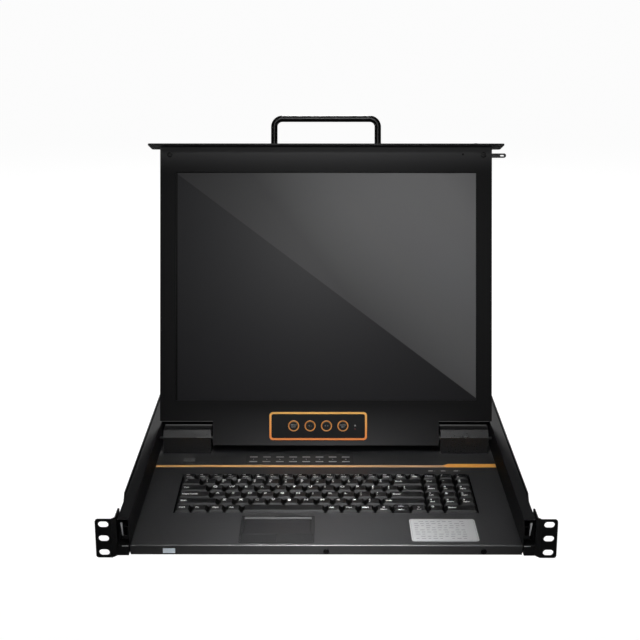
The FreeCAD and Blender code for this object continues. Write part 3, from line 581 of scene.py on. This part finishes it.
def row_keys(row):
    """The keys of a row from left to right, or of the numeric pad from its rear line."""
    low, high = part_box(row)
    middle = (low.y + high.y) / 2
    depth = high.y - low.y + key_gap
    if row in shares:
        return side_by_side(main_left, [share * key_width for share in shares[row]], middle, depth)
    if row == "key_space":
        return [((low.x + high.x) / 2, middle, space_key, depth)]
    if row == "keys_bottom":
        keys = side_by_side(main_left, [small_key] * 4, middle, depth)
        keys += side_by_side(main_left + 4 * small_key + space_key, [key_width] * 3, middle, depth)
        first, (x, *_), last = side_by_side(arrow_left, [arrow_key] * 3, middle, depth)
        halves = [(x, middle + step, arrow_key, depth / 2) for step in (-depth / 4, depth / 4)]
        return keys + [first, *halves, last]
    keys = []
    rear = high.y + key_gap / 2
    for line in range(6):
        deep = row_pitch if line else function_depth
        rear -= deep
        widths = [pad_pitch] * 3 if line < 5 else [pad_pitch, 2 * pad_pitch]
        keys += side_by_side(pad_left, widths, rear + deep / 2, deep)
    return keys


def hung(text, size, bold, corner, down=0.0, across=0.0):
    """Lettering hung from the rear left corner of a key's top."""
    return printed(text, size, corner @ Matrix.Translation((across, -down, 0)), bold, ("LEFT", "TOP"))


print_lift = 0.00001
key_patterns = {}
for row, words in legends.items():
    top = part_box(row)[1].z
    face = top - cap_dish + print_lift
    caps = []
    prints = []
    for number, ((x, y, width, depth), word) in enumerate(zip(row_keys(row), words)):
        size = (round(width - key_gap, 6), round(depth - key_gap, 6))
        if size not in key_patterns:
            key_patterns[size] = key_pattern(*size)
        caps.append(copied(key_patterns[size], "cap", Matrix.Translation((x, y, top - cap_height))))
        taper = cap_taper(size[1])
        shrink = 0.6 if depth < row_pitch * 0.6 else 1.0
        corner = Matrix.Translation((x - size[0] / 2 + taper + 0.0018,
                                     y + size[1] / 2 - taper - 0.0007 * shrink, face))
        if row == "keys_function":
            prints.append(hung(word, function_size, 0.00008, corner))
            prints.append(hung(function_words[number % 4], small_word_size, 0.00014, corner, 0.0058, 0.0006))
        elif word in arrow_words and row == "keys_bottom":
            front = Matrix.Translation((x, y - size[1] / 2 + taper + 0.002, face))
            middle = Matrix.Translation((x, y + 0.001, face))
            prints.append(printed(word, arrow_size * shrink, middle, 0.00012))
            prints.append(printed(arrow_words[word], small_word_size, front, 0.00016))
        elif word in second_signs:
            second = second_signs[word]
            small, down = (second_word_size, 0.0062) if len(second) > 1 else (second_sign_size, 0.0047)
            prints.append(hung(word, sign_size, 0.0002, corner))
            prints.append(hung(second, small, 0.00017, corner, down))
        elif len(word) == 1:
            prints.append(hung(word, letter_size, 0.00026, corner))
        elif word:
            prints.append(hung(word, word_size, 0.00018, corner, 0.0032))
    body = frame["nodes"][row]["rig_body"]
    row_piece = joined(caps, row + "_caps")
    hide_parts(row)
    own(row_piece, body, key_abs)
    if prints:
        own(joined(prints, row + "_print"), body, legend_ink)
for pattern in key_patterns.values():
    bpy.data.objects.remove(pattern)

# ---------------------------------------------------------------- touchpad
# Capacitive pad sunk in a moulded frame, with two buttons flush at its front edge.  The
# module drops through the deck and its flange is clamped from below.

groove_width = 0.0009
groove_depth = 0.0003
rear_shade_band = 0.0054
pad_low, pad_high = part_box("touch_pad")
frame_low, frame_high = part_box("touchpad_frame")
pad_plastic = Finish("touchpad plastic", {"Specular IOR Level": 0.2})
pad_grain = pad_plastic.noise(2200.0, 1.0)
pad_across, pad_along, pad_up = pad_plastic.axes()
# The grooves round the pad and a band along the frame's rear edge are painted near-black: painted shade
# where they lie in shadow.
pad_inside = (pad_across > pad_low.x + groove_width) * (pad_high.x - groove_width > pad_across)
pad_groove = (frame_high.z - groove_depth > pad_up) * (pad_high.y + groove_width > pad_along)
pad_groove = pad_groove * (1 - pad_inside)
pad_painted_shade = pad_groove + (pad_along > frame_high.y - rear_shade_band)
pad_tone = pad_plastic.mix(pad_grain, chart(36, 36, 37), chart(46, 46, 47))
pad_plastic.feed("Base Color", pad_plastic.mix(pad_painted_shade, pad_tone, chart(6, 6, 6)))
pad_plastic.feed("Roughness", 0.36 + pad_grain * 0.14)
pad_plastic.bump(pad_grain, 0.00004)
for node in ("touchpad_frame", "touch_pad", "touch_button_left", "touch_button_right"):
    eased(node, pad_plastic, 0.00012)

# ---------------------------------------------------------------- deck marks
# Screen-printed films and paint on the deck: the orange line, the port strip with its
# windows, the lock lamps, a silver plate with plain rules, and a pale sticker on the lip.


def plate(name, x, y, z, corner, thickness, steps=5):
    """Flat plate with round corners between two X and two Y values, standing on a height."""
    only()
    bpy.ops.mesh.primitive_plane_add(size=1, location=((x[0] + x[1]) / 2, (y[0] + y[1]) / 2, z))
    flat = bpy.context.object
    flat.name = name
    flat.scale = (x[1] - x[0], y[1] - y[0], 1)
    settled(flat)
    bpy.ops.object.mode_set(mode="EDIT")
    bpy.ops.mesh.select_all(action="SELECT")
    if corner:
        bpy.ops.mesh.bevel(offset=corner, segments=steps, affect="VERTICES")
    bpy.ops.mesh.extrude_region_move(TRANSFORM_OT_translate={"value": (0, 0, thickness)})
    bpy.ops.mesh.select_all(action="SELECT")
    bpy.ops.mesh.normals_make_consistent(inside=False)
    bpy.ops.object.mode_set(mode="OBJECT")
    return flat


def drawn_in(run, margin):
    """A run from a low to a high value, with a margin taken off at both ends."""
    return (run[0] + margin, run[1] - margin)


def about(middle, half):
    """The run that reaches a half length to each side of its middle."""
    return (middle - half, middle + half)


def frame_line(name, x, y, z, corner, thickness, line):
    """Closed line of a round-cornered frame: a plate with its middle taken out."""
    ring = plate(name, x, y, z, corner, thickness, 8)
    carve(ring, plate("middle", drawn_in(x, line), drawn_in(y, line), z - thickness,
                      corner - line * 0.8, thickness * 3, 8))
    return ring


deck_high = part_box("deck_panel")[1]
deck_z = deck_high.z
paint = 0.00006

stripe_x = drawn_in((-deck_high.x, deck_high.x), 0.0004)
stripe_y = (0.2136, 0.2200)
bar_x = (0.1375, stripe_x[1])
bar_y = (0.2160, 0.2245)
bar_slant = 0.011
orange_from = 0.146
orange_slant = 0.8
stripe_ink = Finish("orange stripe paint", {"Roughness": 0.5, "Specular IOR Level": 0.15})
across, along, _ = stripe_ink.axes()
stripe_tan = stripe_ink.mix(stripe_ink.ramp(across, -0.18, 0.11), chart(246, 190, 118), chart(214, 176, 136))
in_bar = across > orange_from - (along - 0.2135) * orange_slant
stripe_ink.feed("Base Color", stripe_ink.mix(in_bar, stripe_tan, chart(255, 186, 92)))
stripe = plate("orange_stripe", stripe_x, stripe_y, deck_z, 0, paint)
bar = plate("orange_bar", bar_x, bar_y, deck_z, 0, paint * 1.5)
only(bar)
bpy.ops.object.mode_set(mode="EDIT")
pick(bar, "EDGE", lambda centre, run: centre.x < bar_x[0] + 0.0001 and centre.y > bar_y[1] - 0.0001
     and abs(run.z) > abs(run.x))
bpy.ops.transform.translate(value=(bar_slant, 0, 0))
bpy.ops.object.mode_set(mode="OBJECT")
own(joined([stripe, bar], "orange_stripe"), "drawer", stripe_ink)

mark_ink = clouded("grey mark print", chart(184, 184, 184), chart(216, 216, 214), 900.0, matt_print, 0.55)
strip_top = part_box("port_keypad")[1].z
first_port_x = -0.0886
port_pitch = 0.01616
number_y = 0.2378
window_rows = (0.2305, 0.245)
marks = []
for column in range(8):
    x = first_port_x + column * port_pitch
    for y in window_rows:
        marks.append(plate("window", about(x, 0.00475), about(y, 0.0012), strip_top, 0.0006, paint))
    marks.append(printed(str(column + 1), 0.0034, Matrix.Translation((x, number_y, strip_top)), 0.00008))
own(joined(marks, "port_marks"), "drawer", mark_ink)

strip_film = clouded("port strip film", chart(48, 48, 49), chart(57, 57, 58), 1500.0,
                     {"Specular IOR Level": 0.5}, 0.4, 0.1)
eased("port_keypad", strip_film, 0.0001)
cover_plastic = powder_coat("grey cover plastic", chart(96, 96, 97), chart(112, 112, 113), 0.5, 0.3)
eased("aux_port_cover", cover_plastic, 0.00015)

# A thin near-black ring on the deck round the module's opening is a painted shadow of the seam between deck
# and frame.
flange_below = 0.0026
gap = frame_line("touchpad_gap_shadow", drawn_in((frame_low.x, frame_high.x), flange_below),
                 drawn_in((frame_low.y, frame_high.y), flange_below), deck_z, 0.0015, paint, 0.0005)
own(gap, "drawer", base_plastic)

lock_y = 0.2026
lock_marks = []
for x, letter in ((0.1255, "A"), (0.1407, "1"), (0.156, "S")):
    lock_marks.append(plate("lamp", about(x, 0.0028), about(lock_y, 0.0008), deck_z, 0.0007, paint))
    lock_marks.append(printed(letter, 0.0024, Matrix.Translation((x + 0.0045, lock_y, deck_z))))
own(joined(lock_marks, "lock_lamps"), "drawer", legend_ink)

label_x = (0.0910, 0.1625)
label_y = (0.013, 0.068)
label_film = 0.00012
label_border = 0.0012
line_count = 9
line_pitch = 0.0052
word_gap = 0.0024
plate_silver = clouded("silver plate film", chart(158, 159, 160), chart(172, 173, 174), 700.0,
                       {"Specular IOR Level": 0.4}, 0.38, 0.12)
label = plate("rating_plate", label_x, label_y, deck_z, 0.004, label_film, 8)
own(label, "drawer", plate_silver)
rule_ink = clouded("grey rule print", chart(112, 113, 114), chart(136, 137, 138), 1500.0, matt_print, 0.6)
label_top = deck_z + label_film
rules = [frame_line("border", drawn_in(label_x, label_border), drawn_in(label_y, label_border),
                    label_top, 0.0032, paint, 0.0003)]
for line in range(line_count):
    y = label_y[1] - 0.0065 - line * line_pitch
    left = label_x[0] + 0.005
    for word in range(9):
        run = 0.0028 + 0.0022 * math.sin(line * 2.3 + word * 1.7) ** 2
        if (line * 3 + word * 5) % 7:
            rules.append(plate("rule", (left, left + run), about(y, 0.0006), label_top, 0, paint, 1))
        left += run + word_gap
own(joined(rules, "rating_plate_rules"), "drawer", rule_ink)

sticker_film = clouded("pale blue film", chart(222, 238, 250), chart(246, 252, 255), 400.0,
                       {"Specular IOR Level": 0.3}, 0.5)
sticker = plate("lip_sticker", (-0.172, -0.159), (-0.0022, 0.0033), 0, 0.0004, 0.00008)
upright = Matrix.Rotation(math.radians(90), 4, "X")
sticker.data.transform(Matrix.Translation((0, lip_y, unit_floor + 0.0049)) @ upright)
own(sticker, "drawer", sticker_film)

# ---------------------------------------------------------------- hinge
# Friction hinges: steel barrels on feet, the shafts that grip the lid's bosses, and a
# folded steel hood over each, powder coated like the walls.

cover_coat = powder_coat("hinge cover coat", chart(21, 21, 22), chart(28, 28, 29), 0.3, 0.5)
for side in ("left", "right"):
    eased("hinge_cover_" + side, cover_coat, 0.0004)
    eased("hinge_bracket_" + side, slide_coat, 0.0002)
eased("hinge_shafts", slide_coat, 0.0002)

# ---------------------------------------------------------------- lid
# Pressed steel housing and face frame with a satin black coat, the screen on a foam
# gasket behind the frame, and above them the front plate with its bar handle and latch.


def zinc_plate(name, dark, light, rough):
    """Bright zinc: crystalline clouding along the strip it was rolled from."""
    plated = Finish(name, {"Metallic": 1.0})
    drawn = plated.node("ShaderNodeMapping", {}, {"Vector": plated.place, "Scale": (60.0, 2.0, 60.0)})
    streak = plated.node("ShaderNodeTexNoise", {}, {"Vector": drawn, "Scale": 12.0, "Detail": 4.0})
    cloud = plated.noise(90.0, 3.0)
    plated.feed("Base Color", plated.mix(cloud * 0.5 + streak * 0.5, dark, light))
    plated.feed("Roughness", rough + (streak - 0.5) * 0.25)
    plated.bump(streak, 0.00002)
    return plated


bezel_satin = Finish("bezel satin coat", {"Specular IOR Level": 0.08})
bezel_grain = bezel_satin.noise(900.0, 1.0)
across, _, up = bezel_satin.axes()
bezel_tone = bezel_satin.mix(bezel_grain, chart(14, 14, 15), chart(19, 19, 20))
# The face frame is painted lighter towards its top edge, a painted highlight, and in a patch at its lower
# middle, a painted pool of light.
bezel_top_highlight = bezel_satin.ramp(up, 0.322, 0.353)
bezel_tone = bezel_satin.mix(bezel_top_highlight * bezel_top_highlight, bezel_tone, chart(76, 76, 77))
bezel_foot_light_pool = bezel_satin.ramp(up, 0.05, -0.002) * bezel_satin.ramp(abs(across), 0.2, 0.0)
bezel_tone = bezel_satin.mix(bezel_foot_light_pool, bezel_tone, chart(70, 70, 71))
bezel_satin.feed("Base Color", bezel_tone)
bezel_satin.feed("Roughness", 0.4 + bezel_grain * 0.1)
bezel_satin.bump(bezel_grain, 0.00005)
latch_zinc = zinc_plate("black zinc plate", chart(52, 52, 53), chart(84, 84, 85), 0.34)
eased("lid_shell", black_coat, 0.0003)
eased("lid_bezel", bezel_satin, 0.0003)
eased("front_plate", black_coat, 0.0003)
eased("latch_guide", latch_zinc, 0.0002)
eased("latch_bolt", latch_zinc, 0.00015)

# The dark glass carries a painted reflection: lighter above a diagonal from upper left to lower right, and
# both sides of that line painted lighter towards the top.
reflection_left = 0.0015
reflection_height = 0.1905
reflection_slope = 0.72
edge_shadow_left = 0.0045
edge_shadow_right = 0.0027
edge_shadow_top = 0.0034
screen_glass = Finish("screen", {"Roughness": 0.3, "Specular IOR Level": 0.1})
across, _, up = screen_glass.axes()
reflection_edge = up - reflection_height + (across - reflection_left) * reflection_slope
lower = screen_glass.mix(screen_glass.ramp(up, 0.03, 0.3), chart(30, 30, 32), chart(45, 45, 47))
upper = screen_glass.mix(screen_glass.ramp(reflection_edge + across * 0.5, 0.02, 0.3),
                         chart(62, 62, 63), chart(124, 124, 125))
glass_tone = screen_glass.mix(screen_glass.ramp(reflection_edge, -0.0006, 0.0006), lower, upper)
window_low, window_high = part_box("lcd_panel")
# Near-black painted shadow along the left, right and top edges of the glass, under the frame's edge.
margin = (window_low.x + edge_shadow_left > across) + (across > window_high.x - edge_shadow_right)
margin = margin + (up > window_high.z - edge_shadow_top)
screen_glass.feed("Base Color", screen_glass.mix(margin, glass_tone, chart(3, 3, 3)))
eased("lcd_panel", screen_glass, 0.0002)

lid_joint = next(joint for joint in frame["joints"] if joint["name"] == "lid_hinge")
lid_lean = math.radians(16.3)
face_ahead = 0.012
edge_below = 0.008
on_lid = (Matrix.Translation(lid_joint["pos_m"]) @ Matrix.Rotation(-lid_lean, 4, "X")
          @ Matrix.Translation((0, -face_ahead, -edge_below)) @ upright)

lid_screw_black = powder_coat("lid screw coat", chart(8, 8, 9), chart(14, 14, 15), 0.45, 0.2)
lid_screw_up = 0.3588
lid_screws = []
for x, spin in ((-0.1928, 0.3), (0.1943, 0.9)):
    place = on_lid @ Matrix.Translation((x, lid_screw_up, 0)) @ Matrix.Rotation(spin, 4, "Z")
    lid_screws.append(copied(screw, "lid", place))
plug = pillar(24, 0.0013, 0.0002)
plug.data.transform(on_lid @ Matrix.Translation((0.1690, 0.3594, 0.0001)))
own(plug, "lid", base_plastic)
own(joined(lid_screws, "lid_screws"), "lid", lid_screw_black)
bpy.data.objects.remove(screw)

handle_gloss = clouded("handle gloss coat", chart(5, 5, 5), chart(9, 9, 9), 600.0,
                       {"Coat Weight": 0.3, "Coat Roughness": 0.25, "Specular IOR Level": 0.1}, 0.3, 0.1)
eased("handle", handle_gloss, 0.0001)

# ---------------------------------------------------------------- screen controls
# Membrane control strip under the screen: black film, an orange printed frame, four
# buttons in copper-coloured rings and two small lamps.

osd_film = clouded("control strip film", chart(24, 25, 26), chart(30, 31, 32), 1500.0,
                   {"Specular IOR Level": 0.1}, 0.42, 0.1)
eased("osd_overlay", osd_film, 0.0001)

osd_top = 0.0004
osd_middle = -0.0094
orange_ink = Finish("orange frame print", {"Roughness": 0.42, "Specular IOR Level": 0.3})
frame_turn = orange_ink.ramp(orange_ink.axes()[2], 0.006, 0.04)
orange_ink.feed("Base Color", orange_ink.mix(frame_turn, chart(238, 132, 66), chart(240, 178, 92)))
orange = frame_line("control_frame", about(osd_middle, 0.0602), (0.0066, 0.0413), osd_top,
                    0.0045, 0.0002, 0.0025)
orange.data.transform(on_lid)
own(orange, "lid", orange_ink)

button_height = 0.0242
button_top = 0.0012
button_black = clouded("button film", chart(6, 6, 7), chart(11, 11, 12), 1500.0,
                       {"Specular IOR Level": 0.3}, 0.35, 0.1)
ring_ink = clouded("copper ring print", chart(190, 120, 54), chart(232, 164, 86), 160.0,
                   {"Specular IOR Level": 0.4}, 0.4)
rings = []
for number, word in enumerate(("MENU\nEXIT", "< -", "+ >", "AUTO\nSET"), 1):
    node = "osd_button_" + str(number)
    low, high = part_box(node)
    centre_x = (low.x + high.x) / 2
    painted(frame["nodes"][node], button_black)
    only()
    bpy.ops.mesh.primitive_torus_add(major_segments=48, minor_segments=10, major_radius=0.0061,
                                     minor_radius=0.0007, location=(0, 0, 0))
    ring = bpy.context.object
    ring.scale.z = 0.4
    settled(ring)
    ring.data.transform(on_lid @ Matrix.Translation((centre_x, button_height, osd_top)))
    rings.append(rounded(ring, 60))
    mark_place = on_lid @ Matrix.Translation((centre_x, button_height, button_top))
    mark = printed(word, 0.0026 if len(word) > 3 else 0.0034, mark_place, 0.00006)
    mark.name = node + "_mark"
    own(mark, frame["nodes"][node]["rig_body"], rule_ink)
own(joined(rings, "button_rings"), "lid", ring_ink)

lamp_x = 0.036
for name, height, colour in (("power_lamp", 0.0246, chart(190, 190, 190)),
                             ("standby_lamp", 0.0203, chart(92, 22, 30))):
    only()
    bpy.ops.mesh.primitive_uv_sphere_add(segments=20, ring_count=10, radius=0.0011)
    lamp = bpy.context.object
    lamp.name = name
    lamp.scale.z = 0.35
    settled(lamp)
    lamp.data.transform(on_lid @ Matrix.Translation((lamp_x, height, osd_top)))
    lens = clouded(name + " lens", colour, chart(60, 50, 50), 900.0, {}, 0.25)
    own(rounded(lamp, 60), "lid", lens)

# ---------------------------------------------------------------- switch box
# The box behind the drawer: folded steel pan, vented cover and rear panel, powder
# coated, with the circuit board on its floor, a moulded mains inlet and a rocker switch.

for node in ("rear_pan", "rear_cover", "rear_panel"):
    eased(node, black_coat, 0.0003)
connector_plastic = clouded("connector moulding", chart(20, 20, 21), chart(28, 28, 29), 1800.0,
                            {"Specular IOR Level": 0.4}, 0.36, 0.12)
for node in ("power_inlet", "rocker_housing", "rocker"):
    eased(node, connector_plastic, 0.0003)
board = clouded("circuit board", chart(14, 62, 36), chart(22, 84, 48), 60.0,
                {"Specular IOR Level": 0.4}, 0.4)
painted(frame["nodes"]["switch_board"], board)

# ---------------------------------------------------------------- rear sockets
# Fifteen-way D sockets: tin-plated shells pressed from sheet, each riveted to its flange,
# a moulded insert with three rows of contact holes, and two hexagonal screw posts.  The
# mains inlet has three plated blades.


def d_block(height, size, narrowing, corner, segments):
    """Block with one side narrower and its upright edges rounded, left in edit mode."""
    solid = block((0, 0, height), size)
    bpy.ops.object.mode_set(mode="EDIT")
    pick(solid, "FACE", lambda centre, normal: normal.y < -0.9)
    bpy.ops.transform.resize(value=(1 - narrowing / size[0], 1, 1))
    pick(solid, "EDGE", lambda centre, run: abs(run.z) > 0.001)
    bpy.ops.mesh.bevel(offset=corner, segments=segments)
    return solid


shell_reach = 0.006
shell = d_block(shell_reach / 2, (0.017, 0.0084, shell_reach), 0.003, 0.0015, 4)
pick(shell, "FACE", lambda centre, normal: normal.z > 0.9)
bpy.ops.mesh.inset(thickness=0.0004)
bpy.ops.mesh.extrude_region_move(TRANSFORM_OT_translate={"value": (0, 0, -0.0046)})
bpy.ops.object.mode_set(mode="OBJECT")
flange_half = 0.0155
flange = plate("flange", about(0, flange_half), about(0, 0.00625), 0, 0.0016, 0.0008, 4)
posts = []
for post_x in about(0, 0.0124):
    post = pillar(6, 0.0026, 0.005, (post_x, 0, 0.0025))
    carve(post, pillar(24, 0.0013, 0.006, (post_x, 0, 0.0045)))
    posts.append(post)
socket = rounded(joined([shell, flange, *posts], "socket_pattern"), 35)

insert = d_block(0.0028, (0.0148, 0.0062, 0.0026), 0.0024, 0.0009, 3)
bpy.ops.object.mode_set(mode="OBJECT")
way_pitch = 0.00229
line_pitch = 0.00198
line_shift = 0.0004
holes = [pillar(12, 0.0005, 0.004, (way * way_pitch + line * line_shift, line * line_pitch, 0.0042))
         for line in (-1, 0, 1) for way in (-2, -1, 0, 1, 2)]
carve(insert, joined(holes, "holes"))
rounded(insert, 35)

socket_count = 8
ports_low, ports_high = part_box("video_ports")
panel_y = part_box("rear_panel")[1].y
row_left, row_right = drawn_in((ports_low.x, ports_high.x), flange_half)
sockets = []
inserts = []
for number in range(socket_count):
    x = row_left + (row_right - row_left) * number / (socket_count - 1)
    place = facing((0, 1, 0), (x, panel_y, (ports_low.z + ports_high.z) / 2))
    sockets.append(copied(socket, "socket", place))
    inserts.append(copied(insert, "insert", place))
bpy.data.objects.remove(socket)
bpy.data.objects.remove(insert)
tin = zinc_plate("tin plate", chart(132, 132, 134), chart(176, 176, 178), 0.3)
socket_row = joined(sockets, "video_sockets")
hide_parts("video_ports")
own(socket_row, "chassis", tin)
own(joined(inserts, "video_inserts"), "chassis", connector_plastic)

blade_setback = 0.0095
inlet_low, inlet_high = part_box("power_inlet")
inlet_x = (inlet_low.x + inlet_high.x) / 2
inlet_z = (inlet_low.z + inlet_high.z) / 2
blades = []
for offset, rise in ((-0.007, -0.0015), (0.0, 0.003), (0.007, -0.0015)):
    blade = block((inlet_x + offset, inlet_high.y - blade_setback, inlet_z + rise), (0.0021, 0.0125, 0.0041))
    bpy.ops.object.mode_set(mode="EDIT")
    bpy.ops.mesh.select_all(action="SELECT")
    bpy.ops.mesh.bevel(offset=0.0003, segments=2)
    bpy.ops.object.mode_set(mode="OBJECT")
    blades.append(rounded(blade, 35))
own(joined(blades, "inlet_blades"), "chassis", tin)

# ---------------------------------------------------------------- studio
# A wide pale floor under an even sky.  Small lamps light the deck, its front edge and the
# lid from the front, two low strips the sides, and one large lamp the rear.


def bare_view(tree):
    """1 on camera and transmission rays, which show the plain ground, and 0 on all others."""
    rays = [add_node(tree, "ShaderNodeLightPath", {}, {}, "Is " + kind + " Ray")
            for kind in ("Camera", "Transmission")]
    return add_node(tree, "ShaderNodeMath", {"operation": "MAXIMUM"}, dict(enumerate(rays)))


world = bpy.data.worlds.new("studio")
bpy.context.scene.world = world
world.use_nodes = True
sky = world.node_tree.nodes["Background"]
sky.inputs["Color"].default_value = (1, 1, 1, 1)
sky_level = add_node(world.node_tree, "ShaderNodeMapRange", {}, {
    "Value": bare_view(world.node_tree), "To Min": 0.06, "To Max": 1.0})
sky_level.into(sky.inputs["Strength"])

only()
bpy.ops.mesh.primitive_plane_add(size=80, location=(0, 10, cad_low.z - 0.0001))
floor = bpy.context.object
floor.name = "studio_floor"
floor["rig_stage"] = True
floor_finish = Finish("studio floor", {"Roughness": 0.9, "Specular IOR Level": 0.0})
shown = bare_view(floor_finish.tree)
floor_finish.feed("Base Color", floor_finish.mix(shown, (0.16, 0.16, 0.16, 1), (0.95, 0.95, 0.95, 1)))
glow = floor_finish.node("ShaderNodeEmission", {}, {"Color": (1, 1, 1, 1), "Strength": 1.2})
lit = Wire(floor_finish.tree, floor_finish.shader.outputs[0])
blended = floor_finish.node("ShaderNodeMixShader", {}, {0: shown * 0.8, 1: lit, 2: glow})
blended.into(floor_finish.tree.nodes["Material Output"].inputs["Surface"])
painted(floor, floor_finish)


def soft_lamp(name, where, aim, size, spread, power):
    """Oblong area lamp at a place, turned towards an aim, with a grid that limits its spread."""
    lamp = bpy.data.objects.new(name, bpy.data.lights.new(name, "AREA"))
    lamp.data.shape = "RECTANGLE"
    lamp.data.size, lamp.data.size_y = size
    lamp.data.spread = math.radians(spread)
    lamp.data.energy = power
    lamp.location = where
    lamp.rotation_euler = (Vector(aim) - Vector(where)).to_track_quat("-Z", "Y").to_euler()
    bpy.context.scene.collection.objects.link(lamp)


soft_lamp("deck lamp", (0.0, -0.25, 0.95), (0, -0.02, 0), (0.2, 0.2), 20, 0.33)
soft_lamp("edge lamp", (0.0, -0.25, 0.95), (0, 0.05, 0), (0.15, 0.2), 34, 0.14)
soft_lamp("front lamp", (0.0, -1.3, 1.5), (0, 0.29, 0.06), (0.35, 0.35), 22, 0.5)
soft_lamp("lid lamp", (0.0, -1.3, 0.85), (0.05, 0.37, 0.33), (0.2, 0.2), 40, 0.21)
for side, name in ((-1, "left lamp"), (1, "right lamp")):
    soft_lamp(name, (side * 1.5, 0.45, -0.003), (0, 0.45, 0.05), (1.0, 0.03), 180, 7.0)
soft_lamp("rear lamp", (0.0, 1.6, 1.3), (0, 0.45, 0.1), (0.3, 0.4), 180, 22.0)

camera = bpy.data.objects.new("camera", bpy.data.cameras.new("camera"))
camera.data.lens = 72.15
camera.data.sensor_width = 36.0
camera.location = (-0.0034, -1.224, 0.5955)
camera.rotation_euler = (math.radians(90 - 16.3), 0, math.radians(0.147))
bpy.context.scene.collection.objects.link(camera)
bpy.context.scene.camera = camera
bpy.context.scene.view_settings.view_transform = "Standard"

low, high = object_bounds()
